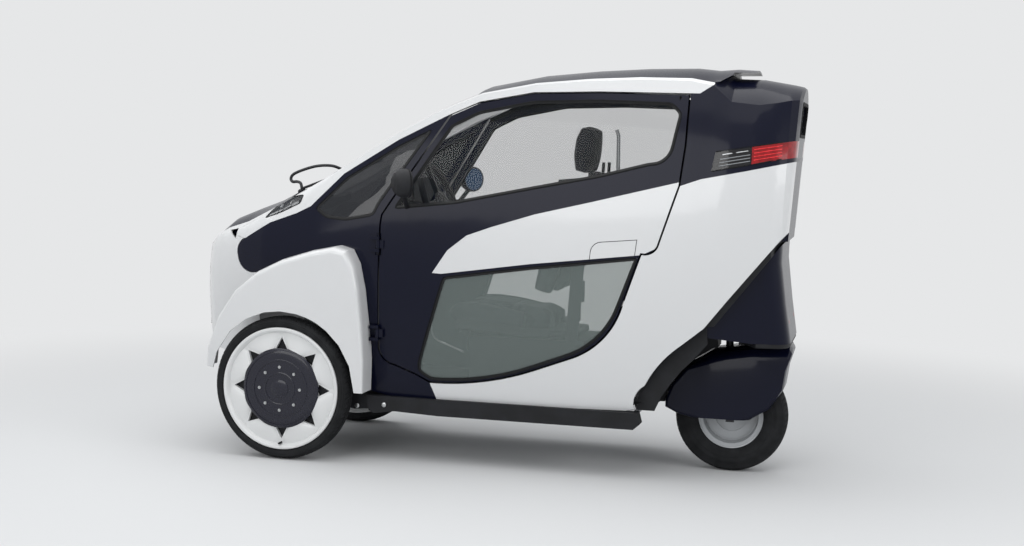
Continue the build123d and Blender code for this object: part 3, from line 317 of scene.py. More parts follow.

# %% [markdown]
# ## Making pieces
# Every added piece is a mesh whose points are already in the car's own place. A part is a pair of points and
# faces. One function makes a piece of it, turns its normals outward, shades it smooth up to an angle and
# parents it to an empty named for the body it rides on.

# %% Piece maker
def piece(name, part, material, body, smooth=35.0):
    verts, faces = part
    mesh = bpy.data.meshes.new(name)
    mesh.from_pydata([tuple(v) for v in verts], [], faces)
    bm = bmesh.new()
    bm.from_mesh(mesh)
    bmesh.ops.remove_doubles(bm, verts=bm.verts, dist=JOIN_GAP)
    bmesh.ops.recalc_face_normals(bm, faces=bm.faces)
    if bm.calc_volume(signed=True) < 0:
        bmesh.ops.reverse_faces(bm, faces=bm.faces)
    for face in bm.faces:
        face.smooth = True
    for edge in bm.edges:
        if len(edge.link_faces) == 2 and edge.calc_face_angle(0.0) > math.radians(smooth):
            edge.smooth = False
    bm.to_mesh(mesh)
    bm.free()
    mesh.materials.append(material)
    obj = bpy.data.objects.new(name, mesh)
    bpy.context.scene.collection.objects.link(obj)
    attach(obj, body)
    return obj


def joined(parts):
    # Several parts as one
    verts, faces = [], []
    for some_verts, some_faces in parts:
        base = len(verts)
        verts += some_verts
        faces += [tuple(i + base for i in face) for face in some_faces]
    return verts, faces


def mirrored(part):
    verts, faces = part
    return [(v[0], -v[1], v[2]) for v in verts], [tuple(reversed(face)) for face in faces]


def moved(part, matrix):
    return [tuple(matrix @ Vector(v)) for v in part[0]], part[1]


def sheet_faces(across, along):
    # Faces of a sheet with thickness: a grid of points in rows, then the same grid again below
    total = across * along
    faces = []
    for j in range(along - 1):
        for i in range(across - 1):
            a = j * across + i
            faces.append((a, a + 1, a + 1 + across, a + across))
            faces.append((total + a, total + a + across, total + a + 1 + across, total + a + 1))
    edge = list(range(across)) + [(j + 1) * across - 1 for j in range(1, along)]
    edge += [(along - 1) * across + i for i in reversed(range(across - 1))]
    edge += [j * across for j in reversed(range(1, along - 1))]
    for a, b in zip(edge, edge[1:] + edge[:1]):
        faces.append((a, a + total, b + total, b))
    return faces


def tube_of(rings, closed=False):
    # Joins rings of the same number of points to a skin
    verts = [tuple(p) for ring in rings for p in ring]
    count, size = len(rings), len(rings[0])
    faces = []
    for i in range(count if closed else count - 1):
        j = (i + 1) % count
        for k in range(size):
            m = (k + 1) % size
            faces.append((i * size + k, i * size + m, j * size + m, j * size + k))
    if not closed:
        faces.append(tuple(range(size)))
        faces.append(tuple((count - 1) * size + k for k in reversed(range(size))))
    return verts, faces


def turned(profile, centre, axis="Y", steps=96, side=1):
    # Revolves closed (radius, along) rows in mm about an axis through centre
    rings = []
    for i in range(steps):
        angle = 2 * math.pi * i / steps
        c, s = math.cos(angle), math.sin(angle)
        ring = []
        for radius, along in profile:
            r, a = radius * MM, side * along * MM
            if axis == "Y":
                ring.append((centre[0] + r * c, centre[1] + a, centre[2] + r * s))
            elif axis == "X":
                ring.append((centre[0] + a, centre[1] + r * c, centre[2] + r * s))
            else:
                ring.append((centre[0] + r * c, centre[1] + r * s, centre[2] + a))
        rings.append(ring)
    return tube_of(rings, closed=True)


def bar(points, radius, sides=10):
    # A round bar through points, in metres
    points = [Vector(p) for p in points]
    rings = []
    for i, at in enumerate(points):
        way = (points[min(i + 1, len(points) - 1)] - points[max(i - 1, 0)]).normalized()
        side_dir = way.orthogonal().normalized()
        if i:
            side_dir = (last_side - way * last_side.dot(way)).normalized()
        last_side = side_dir
        up_dir = way.cross(side_dir)
        rings.append([
            at + radius * (math.cos(2 * math.pi * k / sides) * side_dir + math.sin(2 * math.pi * k / sides) * up_dir)
            for k in range(sides)
        ])
    return tube_of(rings)


def rounded_box(low, high, radius, steps=3):
    # A box in metres with round edges, as rings stacked along Z
    rings = []
    turns = [i * math.pi / 2 / steps for i in range(steps + 1)]
    levels = [(radius * (1 - math.cos(t)), radius * (1 - math.sin(t))) for t in turns]
    stack = [(low[2] + drop, inset) for drop, inset in levels]
    stack += [(high[2] - drop, inset) for drop, inset in reversed(levels)]
    for z, inset in stack:
        ring = []
        for sx, sy, first in ((1, 1, 0.0), (-1, 1, 0.5), (-1, -1, 1.0), (1, -1, 1.5)):
            cx = (high[0] - radius) if sx > 0 else (low[0] + radius)
            cy = (high[1] - radius) if sy > 0 else (low[1] + radius)
            for t in turns:
                angle = first * math.pi + t
                r = radius - inset
                ring.append((cx + r * math.cos(angle), cy + r * math.sin(angle), z))
        rings.append(ring)
    return tube_of(rings)


print("piece maker ready")

# %% [markdown]
# ## Lines laid on the body's side
# Window borders, rubber seals and lamp bezels all follow an outline on the curved side. An outline is a short
# table of corners and arcs in mm. Each of its points is dropped on the CAD surface by a ray, and a small profile
# is swept along it, so every border lies on the real curve.

# %% Outlines on the side
def trace(rows, chords=6):
    # Corner points of (x, z) rows; a row of four values is an arc through a point
    points = []
    here = rows[-1][-2:]
    for row in rows:
        there = row[-2:]
        if len(row) == 4:
            (ax, az), (bx, bz), (cx, cz) = here, row[:2], there
            d = 2 * (ax * (bz - cz) + bx * (cz - az) + cx * (az - bz))
            ux = ((ax**2 + az**2) * (bz - cz) + (bx**2 + bz**2) * (cz - az) + (cx**2 + cz**2) * (az - bz)) / d
            uz = ((ax**2 + az**2) * (cx - bx) + (bx**2 + bz**2) * (ax - cx) + (cx**2 + cz**2) * (bx - ax)) / d
            r = math.hypot(ax - ux, az - uz)
            first, last = math.atan2(az - uz, ax - ux), math.atan2(cz - uz, cx - ux)
            via = math.atan2(bz - uz, bx - ux)
            sweep = (last - first) % (2 * math.pi)
            if (via - first) % (2 * math.pi) > sweep:
                sweep -= 2 * math.pi
            for i in range(1, chords):
                angle = first + sweep * i / chords
                points.append((ux + r * math.cos(angle), uz + r * math.sin(angle)))
        points.append(tuple(there))
        here = there
    return points


def refined(points, step, closed=True):
    # The same line with a point at least every step mm
    out = []
    count = len(points)
    for i in range(count if closed else count - 1):
        a, b = points[i], points[(i + 1) % count]
        parts = max(1, int(math.dist(a, b) / step))
        out += [(a[0] + (b[0] - a[0]) * k / parts, a[1] + (b[1] - a[1]) * k / parts) for k in range(parts)]
    if not closed:
        out.append(points[-1])
    return out


def softened(points, radius, closed=True):
    # Rounds each corner with two points set back along its sides
    out = []
    count = len(points)
    for i, at in enumerate(points):
        if not closed and i in (0, count - 1):
            out.append(at)
            continue
        before, after = points[i - 1], points[(i + 1) % count]
        ends = []
        for other in (before, after):
            length = math.dist(at, other)
            back = min(radius, 0.45 * length) / length
            ends.append((at[0] + (other[0] - at[0]) * back, at[1] + (other[1] - at[1]) * back))
        middle = tuple(0.5 * at[k] + 0.25 * (ends[0][k] + ends[1][k]) for k in (0, 1))
        out += [ends[0], middle, ends[1]]
    return out


def normals_of(points, closed=True):
    count = len(points)
    area = sum(points[i - 1][0] * points[i][1] - points[i][0] * points[i - 1][1] for i in range(count))
    turn = 1.0 if area > 0 else -1.0
    found = []
    for i in range(count):
        a = points[i - 1] if closed or i else points[0]
        b = points[(i + 1) % count] if closed or i < count - 1 else points[-1]
        length = math.dist(a, b) or 1.0
        found.append((-turn * (b[1] - a[1]) / length, turn * (b[0] - a[0]) / length))
    return found


def surface_of(*names):
    bm = bmesh.new()
    for name in names:
        bm.from_mesh(nodes[name].data)
    bmesh.ops.remove_doubles(bm, verts=bm.verts, dist=JOIN_GAP)
    tree = BVHTree.FromBMesh(bm)
    bm.free()
    return tree


def on_side(tree, x, z):
    # The outermost left surface at (x, z) in mm, as a point and its normal; nearest point where the ray misses
    hit = tree.ray_cast(Vector((x * MM, 0.6, z * MM)), Vector((0, -1, 0)))
    if hit[0] is None or hit[0].y < 0.1:
        hit = tree.find_nearest(Vector((x * MM, 0.33, z * MM)))
    normal = hit[1] if hit[1].y >= 0 else -hit[1]
    return hit[0], normal


def laid_line(tree, rows, profile, closed=True, step=14.0, corner=0.0, chords=6):
    # Sweeps a closed (inset, lift) profile in mm along an outline on the left side
    points = trace(rows, chords) if closed else [row[-2:] for row in rows]
    if corner:
        points = softened(points, corner, closed)
    points = refined(points, step, closed)
    rings = []
    for (x, z), (nx, nz) in zip(points, normals_of(points, closed)):
        ring = []
        for inset, lift in profile:
            at, normal = on_side(tree, x + nx * inset, z + nz * inset)
            ring.append(tuple(at + normal * lift * MM))
        rings.append(ring)
    return tube_of(rings, closed=closed)


def bead(width, low, high, inset=0.0):
    # A round topped seal profile, width wide, from low to high lift
    return (
        (inset, low), (inset, high - 0.4 * (high - low)), (inset + 0.25 * width, high), (inset + 0.75 * width, high),
        (inset + width, high - 0.4 * (high - low)), (inset + width, low),
    )


def two_sides(name, part, material, bodies, smooth=35.0):
    for side, body, shape in (("left", bodies[0], part), ("right", bodies[1], mirrored(part))):
        piece(name + "_" + side, shape, material, body, smooth)


DOORS, BODY = ("door_left", "door_right"), ("body", "body")
UPPER_PANE = (
    (306.0, 948.0), (72.0, 974.0), (-250.0, 1040.0), (-456.0, 1081.0), (-633.0, 1127.0),
    (-690.0, 1148.0, -712.0, 1185.0), (-736.0, 1310.0), (-700.0, 1345.0), (-439.0, 1352.0), (-198.0, 1345.0),
    (3.0, 1305.0), (105.0, 1255.0),
)
LOWER_PANE = (
    (108.0, 704.0), (206.0, 382.0), (206.0, 348.0), (158.0, 320.0), (-40.0, 336.0, -232.0, 390.0), (-370.0, 443.0),
    (-486.0, 530.0, -547.0, 645.0), (-604.0, 802.0), (-217.0, 753.0),
)
QUARTER_PANE = (
    (628.0, 938.0), (578.0, 905.0), (498.0, 899.0), (388.0, 920.0), (370.0, 960.0), (178.0, 1240.0),
    (308.0, 1175.0), (510.0, 1055.0),
)
door_side = surface_of("door_shell_left", "door_glass_left", "door_panel_left")
front_side = surface_of("front_quarters", "side_and_rear_glass", "white_bands", "headlamps", "nose")
print("outlines", len(trace(UPPER_PANE)), len(trace(LOWER_PANE)), len(trace(QUARTER_PANE)))

# %% [markdown]
# ## Window borders and seals
# Real panes are glued behind a fired black border, and a rubber lip closes the joint to the panel. The border is
# a thin plate just proud of the pane, the lip a round bead along the pane's edge.

# %% Window borders and seals
FRIT, LIP = ((1.0, 0.5), (9.0, 0.5), (9.0, 1.0), (1.0, 1.0)), bead(6.5, -3.0, 1.4, -3.5)
for name, rows, tree_here, bodies in (
    ("upper_window", UPPER_PANE, door_side, DOORS), ("lower_window", LOWER_PANE, door_side, DOORS),
    ("quarter_window", QUARTER_PANE, front_side, BODY),
):
    two_sides(name + "_border", laid_line(tree_here, rows, FRIT, corner=14.0), frit_black, bodies)
    two_sides(name + "_lip", laid_line(tree_here, rows, LIP, corner=14.0), seal_rubber, bodies)
print("borders and lips on three panes a side")

# %% [markdown]
# ## Front wheels
# The front wheels are large and thin: a white enamelled rim with a rolled lip, petals round eight pointed
# openings, and a navy disc over the hub motor. The disc has pressed rings and eight cap screws.

# %% Ring of screws tree
def instanced(tree, start, links):
    # Ends a tree: the instance at each point, made real, in the group's own finish
    placed = add_node(tree, "GeometryNodeInstanceOnPoints", links=links)
    real = add_node(tree, "GeometryNodeRealizeInstances", links={"Geometry": placed.outputs[0]})
    coat = add_node(tree, "GeometryNodeSetMaterial", links={
        "Geometry": real.outputs[0], "Material": start.outputs["Finish"],
    })
    add_node(tree, "NodeGroupOutput", links={"Geometry": coat.outputs[0]})
    return tree


tree, start = new_group("ring_of_screws", (
    ("Count", "Int", 8), ("Circle Radius", "Float", 0.1), ("Head Radius", "Float", 0.006),
    ("Head Height", "Float", 0.004), ("Finish", "Material", None),
))
circle = add_node(tree, "GeometryNodeMeshCircle", {"fill_type": "NONE"}, links={
    "Vertices": start.outputs["Count"], "Radius": start.outputs["Circle Radius"],
})
head = add_node(tree, "GeometryNodeMeshCylinder", {"fill_type": "NGON"}, {"Vertices": 12}, {
    "Radius": start.outputs["Head Radius"], "Depth": start.outputs["Head Height"],
})
socket_r = add_node(tree, "ShaderNodeMath", {"operation": "MULTIPLY"}, {1: 0.5}, {0: start.outputs["Head Radius"]})
crown_h = add_node(tree, "ShaderNodeMath", {"operation": "MULTIPLY"}, {1: 1.5}, {0: start.outputs["Head Height"]})
crown = add_node(tree, "GeometryNodeMeshCylinder", {"fill_type": "NGON"}, {"Vertices": 6}, {
    "Radius": socket_r.outputs[0], "Depth": crown_h.outputs[0],
})
screw = add_node(tree, "GeometryNodeJoinGeometry")
tree.links.new(head.outputs["Mesh"], screw.inputs[0])
tree.links.new(crown.outputs["Mesh"], screw.inputs[0])
ring_of_screws = instanced(tree, start, {"Points": circle.outputs["Mesh"], "Instance": screw.outputs[0]})


def grown(group, settings, matrix):
    # Runs a tree once and returns it as a plain part at the matrix's place
    mesh = bpy.data.meshes.new("seed")
    carrier = bpy.data.objects.new("seed", mesh)
    bpy.context.scene.collection.objects.link(carrier)
    modifier = carrier.modifiers.new("grow", "NODES")
    modifier.node_group = group
    for item in group.interface.items_tree:
        if item.item_type == "SOCKET" and item.in_out == "INPUT" and item.name in settings:
            modifier[item.identifier] = settings[item.name]
    bpy.context.view_layer.update()
    grown_mesh = bpy.data.meshes.new_from_object(carrier.evaluated_get(bpy.context.evaluated_depsgraph_get()))
    verts = [tuple(matrix @ v.co) for v in grown_mesh.vertices]
    faces = [tuple(p.vertices) for p in grown_mesh.polygons]
    bpy.data.objects.remove(carrier)
    bpy.data.meshes.remove(grown_mesh)
    return verts, faces


def facing(axis, centre):
    # Turns a tree's +Z to the axis and moves it to the centre
    return Matrix.Translation(centre) @ Vector(axis).to_track_quat("Z", "Y").to_matrix().to_4x4()


def screw_ring(count, circle_r, head_r, head_h, axis, centre):
    return grown(ring_of_screws, {
        "Count": count, "Circle Radius": circle_r, "Head Radius": head_r, "Head Height": head_h, "Finish": zinc_steel,
    }, facing(axis, centre))


print("screw tree ready")

# %% Hub disc dressing
WHEEL_AT = Vector((0.715, 0.385, 0.268))
WHEELS = ("front_wheel_left", "front_wheel_right")
DISC_FACE = 41.0


def at_wheel(profile, steps=96):
    return turned(profile, WHEEL_AT, "Y", steps)


rings = [
    ((56.0, 40.0), (56.0, 42.6), (59.0, 43.4), (62.0, 42.2), (62.0, 40.0)),
    ((103.0, 36.5), (103.0, 40.2), (106.0, 40.8), (109.0, 39.8), (109.0, 36.5)),
    ((138.0, 32.0), (138.0, 37.6), (143.0, 36.6), (149.6, 31.4), (149.6, 29.0), (146.0, 28.0)),
]
two_sides("hub_disc_rings", joined([at_wheel(ring) for ring in rings]), gloss_navy, WHEELS)
cap = ((0.01, 40.0), (34.0, 40.0), (34.0, 42.5), (29.0, 45.0), (12.0, 46.5), (0.01, 46.8))
two_sides("hub_cap", at_wheel(cap), gloss_navy, WHEELS)
screws = screw_ring(8, 0.081, 0.0058, 0.006, (0, 1, 0), WHEEL_AT + Vector((0, DISC_FACE * MM, 0)))
two_sides("hub_disc_screws", screws, zinc_steel, WHEELS)
print("hub discs dressed")

# %% [markdown]
# The rim's face is pressed sheet: it rises to a petal between two openings and rolls into a lip outside. The
# petals are one skin over polar steps, so its height can follow a cosine of the angle.

# %% Rim petals and lip
SPOKES, PETAL_IN_R, PETAL_OUT_R = 8, 150.5, 210.0
PETAL_STEPS_A, PETAL_STEPS_R = 24, 9


def petal_skin():
    # A petal between each two openings, closed by a low copy of itself
    parts = []
    for index in range(SPOKES):
        middle = 2 * math.pi * (index + 0.5) / SPOKES
        top, low = [], []
        for j in range(PETAL_STEPS_R + 1):
            t = j / PETAL_STEPS_R
            radius = PETAL_IN_R + (PETAL_OUT_R - PETAL_IN_R) * t
            open_half = max(0.0, 24.5 * (1 - max(0.0, radius - 147.0) / 45.0)) / radius
            half = math.pi / SPOKES - open_half - 0.012
            for i in range(PETAL_STEPS_A + 1):
                s = 2 * i / PETAL_STEPS_A - 1
                angle = middle + s * half
                crown = (1 - s * s) * (1 - 0.35 * t)
                along = 26.6 + 7.5 * crown + 3.0 * t * (1 - t) - 4.0 * t
                rim_drop = 3.2 * (abs(s) ** 6)
                x, z = math.cos(angle) * radius * MM, math.sin(angle) * radius * MM
                top.append((WHEEL_AT.x + x, WHEEL_AT.y + (along - rim_drop) * MM, WHEEL_AT.z + z))
                low.append((WHEEL_AT.x + x, WHEEL_AT.y + 22.5 * MM, WHEEL_AT.z + z))
        parts.append((top + low, sheet_faces(PETAL_STEPS_A + 1, PETAL_STEPS_R + 1)))
    return joined(parts)


two_sides("rim_petals", petal_skin(), wheel_paint, WHEELS, 50.0)
lip = (
    (208.0, 20.0), (210.0, 27.0), (213.5, 35.0), (218.0, 40.6), (224.0, 42.0), (228.4, 40.0), (229.2, 36.0),
    (229.2, 30.0), (222.0, 30.0), (216.0, 20.0),
)
two_sides("rim_lip", at_wheel(lip, 128), wheel_paint, WHEELS)
valve = bar([WHEEL_AT + Vector((0.0, y, -0.206)) for y in (0.022, 0.030, 0.046)], 0.004)
two_sides("tyre_valve", valve, seal_rubber, WHEELS)
print("petals", SPOKES, "per wheel")

# %% [markdown]
# ## Tyres
# A tyre is a rubber carcass with rows of tread blocks. The carcass is a revolved profile a few millimetres
# smaller than the CAD tyre, and one pitch of blocks is repeated round it, so the grooves are real and the tread's
# top is where the CAD tyre's is.

# %% Tread tree
tree, start = new_group("tread_ring", (
    ("Block", "Object", None), ("Pitches", "Int", 60), ("Finish", "Material", None),
))
spots = add_node(tree, "GeometryNodeMeshLine", links={"Count": start.outputs["Pitches"]}, inputs={"Offset": (0, 0, 0)})
order = add_node(tree, "GeometryNodeInputIndex")
share = add_node(tree, "ShaderNodeMath", {"operation": "DIVIDE"}, {0: 2 * math.pi}, {1: start.outputs["Pitches"]})
angle = add_node(tree, "ShaderNodeMath", {"operation": "MULTIPLY"}, links={0: order.outputs[0], 1: share.outputs[0]})
spin = add_node(tree, "ShaderNodeCombineXYZ", links={"Y": angle.outputs[0]})
block = add_node(tree, "GeometryNodeObjectInfo", {"transform_space": "ORIGINAL"}, links={0: start.outputs["Block"]})
tread_ring = instanced(tree, start, {
    "Points": spots.outputs[0], "Instance": block.outputs["Geometry"], "Rotation": spin.outputs[0],
})


def tread_block(tyre_r, y_low, y_high, pitch, slant, depth, crown):
    # One block over a pitch: its top follows the tyre's crown, its sides taper to the carcass
    def ring(radius_drop, gap):
        corners = []
        for y in (y_low + gap, y_high - gap):
            for edge in (-1, 1):
                angle = edge * (pitch / 2 - gap / tyre_r) + slant * y / tyre_r
                radius = tyre_r - crown(y) - radius_drop
                corners.append((radius * math.cos(angle) * MM, y * MM, -radius * math.sin(angle) * MM))
        return [corners[0], corners[1], corners[3], corners[2]]
    return tube_of([ring(depth + 1.0, 0.6), ring(1.0, 1.1), ring(0.0, 2.1)])


def tyre_part(replaces_names, centres, bodies, tyre_r, rim_r, width, ribs, pitches, depth):
    half = width / 2
    shoulder = 12.0
    wall = tyre_r - rim_r

    def crown(y):
        return 7.0 * max(0.0, (abs(y) - (half - 2.4 * shoulder)) / (1.4 * shoulder)) ** 1.6

    carcass = [
        (rim_r + 0.4, half - 8.4), (rim_r + 0.12 * wall, half - 5.2), (rim_r + 0.16 * wall, half - 3.0),
        (rim_r + 0.3 * wall, half - 1.2), (rim_r + 0.42 * wall, half - 0.3), (rim_r + 0.44 * wall, half - 1.6),
        (rim_r + 0.6 * wall, half - 1.0), (rim_r + 0.63 * wall, half - 2.6), (tyre_r - 9.0 - depth, half - 6.0),
        (tyre_r - 6.0 - depth, half - shoulder), (tyre_r - 0.6 - depth, half - 2.4 * shoulder),
        (tyre_r - depth, 0.35 * half),
    ]
    carcass += [(r, -y) for r, y in reversed(carcass)]
    block_verts, block_faces = joined([
        tread_block(tyre_r, y_low, y_high, 2 * math.pi / pitches, slant, depth, crown)
        for y_low, y_high, slant in ribs
    ])
    mesh = bpy.data.meshes.new("tread_pitch")
    mesh.from_pydata(block_verts, [], block_faces)
    pitch_block = bpy.data.objects.new("tread_pitch", mesh)
    bpy.context.scene.collection.objects.link(pitch_block)
    for node_name, centre, body in zip(replaces_names, centres, bodies):
        blocks = grown(tread_ring, {
            "Block": pitch_block, "Pitches": pitches, "Finish": tyre_rubber,
        }, Matrix.Translation(centre))
        skin = turned(carcass, centre, "Y", 160)
        obj = piece("tyre_" + body, joined([skin, blocks]), tyre_rubber, body, 28.0)
        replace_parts(obj, node_name)
        print(node_name, "triangles", sum(len(p.vertices) - 2 for p in obj.data.polygons))
    bpy.data.objects.remove(pitch_block)


FRONT_RIBS = ((-36.0, -18.0, 0.5), (-15.0, -2.0, -0.4), (2.0, 15.0, 0.4), (18.0, 36.0, -0.5))
REAR_RIBS = ((-42.0, -21.0, 0.5), (-18.0, -2.0, -0.4), (2.0, 18.0, 0.4), (21.0, 42.0, -0.5))
RIGHT_WHEEL_AT = Vector((WHEEL_AT.x, -WHEEL_AT.y, WHEEL_AT.z))
REAR_WHEEL_AT = Vector((-0.916, 0.0, 0.206))
tyre_part(
    ("tyre_front_left", "tyre_front_right"), (WHEEL_AT, RIGHT_WHEEL_AT), WHEELS, 268.0, 229.0, 86.0,
    FRONT_RIBS, 84, 3.0,
)
tyre_part(("tyre_rear",), (REAR_WHEEL_AT,), ("rear_wheel",), 206.0, 114.0, 100.0, REAR_RIBS, 64, 3.0)

# %% Rear wheel dressing
rear_rings = [
    turned(((112.0, 36.0), (114.0, 44.0), (118.0, 45.5), (120.0, 42.0), (118.0, 36.0)), REAR_WHEEL_AT, "Y", 96, side)
    for side in (-1, 1)
]
rear_rings.append(turned(((60.0, 8.0), (60.0, 12.0), (88.0, 12.0), (88.0, 8.0)), REAR_WHEEL_AT, "Y", 96, 1))
piece("rear_rim_lips", joined(rear_rings), silver_paint, "rear_wheel")
brake = joined([
    turned(((52.0, -13.0), (52.0, -17.0), (92.0, -17.0), (92.0, -13.0)), REAR_WHEEL_AT, "Y", 96),
    screw_ring(6, 0.031, 0.005, 0.007, (0, 1, 0), REAR_WHEEL_AT + Vector((0, -0.0305, 0))),
])
piece("rear_brake_disc", brake, zinc_steel, "rear_wheel")
print("rear wheel dressed")

# %% [markdown]
# ## Seats
# Both seats are dark woven covers over foam on a moulded shell. Each pad starts as a rounded block along the
# seat's side line, is remeshed, and swells in a short cloth simulation, which draws its sides in between the
# corners. Sewn channels are pressed in afterwards, because the remesh would lose them.

# %% Pad maker
PAD_VOXEL, PAD_PRESSURE, PAD_FRAMES = 0.006, 4.0, 20
SEAM_DEPTH, SEAM_WIDTH = 0.006, 0.006
X_AXIS, Y_AXIS, Z_AXIS = 0, 1, 2


def stations(line):
    # Each (x, z) point of a side line in mm, with its share of the line and its normal
    count = len(line)
    for i, (x, z) in enumerate(line):
        a, b = line[max(i - 1, 0)], line[min(i + 1, count - 1)]
        length = math.dist(a, b)
        yield i / (count - 1), x, z, -(b[1] - a[1]) / length, (b[0] - a[0]) / length


def pad_block(line, thick, half_w, taper=0.0, crown=0.0, steps=8):
    # A slab along a side line, its thickness below the line, narrower towards the end by the taper
    rings = []
    for t, x, z, nx, nz in stations(line):
        width = half_w * (1 - taper * t)
        end = min(1.0, 0.72 + 0.9 * min(t, 1 - t))
        ring = []
        for k in range(4 * steps):
            angle = 2 * math.pi * (k + 0.5) / (4 * steps)
            c, s = math.cos(angle), math.sin(angle)
            across = math.copysign(abs(c) ** 0.42, c) * width * (0.94 + 0.06 * end)
            through = (math.copysign(abs(s) ** 0.55, s) - 1) * 0.5 * thick * end - 0.5 * thick * (1 - end)
            bow = crown * (across / half_w) ** 2
            ring.append(((x + nx * (through + bow)) * MM, across * MM, (z + nz * (through + bow)) * MM))
        rings.append(ring)
    return tube_of(rings)


def sewn(obj, seams):
    # Presses channels: a seam is an (axis, place) plane that crosses the pad, in metres
    for vertex in obj.data.vertices:
        drop = max((math.exp(-(((vertex.co[axis] - at) / SEAM_WIDTH) ** 2)) for axis, at in seams), default=0.0)
        vertex.co -= vertex.normal * SEAM_DEPTH * drop


def soft_pad(name, part, cap_mm, seams=()):
    # The swelling moves no point by more than cap_mm
    obj = piece(name, part, seat_cloth, "body", 80.0)
    remesh = obj.modifiers.new("even_mesh", "REMESH")
    remesh.mode = "VOXEL"
    remesh.voxel_size = PAD_VOXEL
    bpy.context.view_layer.update()
    even = bpy.data.meshes.new_from_object(obj.evaluated_get(bpy.context.evaluated_depsgraph_get()))
    obj.modifiers.clear()
    obj.data = even
    at_rest = [v.co.copy() for v in even.vertices]
    cloth = obj.modifiers.new("swell", "CLOTH")
    cloth.settings.quality = 4
    cloth.settings.mass = 0.3
    cloth.settings.tension_stiffness = 18.0
    cloth.settings.compression_stiffness = 18.0
    cloth.settings.use_pressure = True
    cloth.settings.uniform_pressure_force = PAD_PRESSURE
    cloth.settings.effector_weights.gravity = 0.0
    cloth.collision_settings.use_collision = False
    for frame_number in range(1, PAD_FRAMES + 1):
        bpy.context.scene.frame_set(frame_number)
    swollen = bpy.data.meshes.new_from_object(obj.evaluated_get(bpy.context.evaluated_depsgraph_get()))
    obj.modifiers.clear()
    obj.data = swollen
    bpy.context.scene.frame_set(1)
    for vertex, was in zip(swollen.vertices, at_rest):
        move = vertex.co - was
        if move.length > cap_mm * MM:
            vertex.co = was + move * (cap_mm * MM / move.length)
    sewn(obj, seams)
    for polygon in obj.data.polygons:
        polygon.use_smooth = True
    smooth = obj.modifiers.new("soft_surface", "SUBSURF")
    smooth.levels = smooth.render_levels = 1
    obj.data.materials.clear()
    obj.data.materials.append(seat_cloth)


# %% Driver's seat
# Side lines from the CAD seat: cushion top, back and head restraint
CUSHION_LINE = ((140.0, 560.0), (110.0, 578.0), (40.0, 580.0), (-60.0, 572.0), (-160.0, 562.0), (-250.0, 566.0))
BACK_LINE = ((-285.0, 640.0), (-306.0, 720.0), (-334.0, 860.0), (-356.0, 980.0), (-368.0, 1050.0))
HEAD_LINE = ((-378.0, 1095.0), (-380.0, 1150.0), (-386.0, 1205.0), (-396.0, 1245.0))


def upright(line):
    # The same points from top to bottom, so that the pad's thickness lies behind the line
    return tuple(reversed(line))


soft_pad(
    "front_seat_cushion", pad_block(upright(CUSHION_LINE), 74.0, 150.0, crown=6.0), 22.0,
    ((Y_AXIS, 0.088), (Y_AXIS, -0.088), (X_AXIS, 0.03), (X_AXIS, -0.09)),
)
soft_pad(
    "front_seat_back", pad_block(BACK_LINE, 62.0, 146.0, 0.12), 22.0,
    ((Y_AXIS, 0.082), (Y_AXIS, -0.082), (Z_AXIS, 0.82), (Z_AXIS, 0.94)),
)
soft_pad("front_head_restraint", pad_block(HEAD_LINE, 72.0, 112.0, 0.1), 12.0)
for side in (-1, 1):
    for label, line, thick in (("cushion", upright(CUSHION_LINE[:-1]), 82.0), ("back", BACK_LINE, 88.0)):
        verts, faces = pad_block(line, thick, 26.0)
        lift = 0.016 if label == "cushion" else 0.0
        push = 0.018 if label == "back" else 0.0
        verts = [(x + push, y + side * 0.170, z + lift) for x, y, z in verts]
        soft_pad("front_seat_" + label + "_bolster_" + ("left" if side > 0 else "right"), (verts, faces), 8.0)
print("driver's pads 7, the cushion from", CUSHION_LINE[-1], "to", CUSHION_LINE[0])

# %% Seat shells, head restraint posts and passenger's seat
REAR_CUSHION_LINE = ((-635.0, 640.0), (-660.0, 655.0), (-740.0, 652.0), (-830.0, 648.0))
REAR_BACK_LINE = ((-884.0, 715.0), (-905.0, 800.0), (-935.0, 920.0), (-965.0, 1040.0), (-980.0, 1110.0))
soft_pad(
    "rear_seat_cushion", pad_block(upright(REAR_CUSHION_LINE), 52.0, 172.0), 16.0,
    ((Y_AXIS, 0.07), (Y_AXIS, -0.07)),
)
soft_pad(
    "rear_seat_back", pad_block(REAR_BACK_LINE, 50.0, 168.0, 0.1), 16.0,
    ((Y_AXIS, 0.07), (Y_AXIS, -0.07), (Z_AXIS, 0.95)),
)


def shell_plate(line, thick, half_w, back_off):
    # A moulded tray behind a pad: a plate along the line with turned up sides
    rings = []
    for _, x, z, nx, nz in stations(line):
        ring = []
        for across, off in (
            (-half_w, 0.55 * back_off), (-half_w + 4, 0.9 * back_off), (-half_w + 16, back_off),
            (half_w - 16, back_off), (half_w - 4, 0.9 * back_off), (half_w, 0.55 * back_off),
            (half_w - 5, 0.55 * back_off), (half_w - 9, 0.85 * back_off), (half_w - 18, back_off - thick),
            (-half_w + 18, back_off - thick), (-half_w + 9, 0.85 * back_off), (-half_w + 5, 0.55 * back_off),
        ):
            ring.append(((x - nx * off) * MM, across * MM, (z - nz * off) * MM))
        rings.append(ring)
    return tube_of(rings)


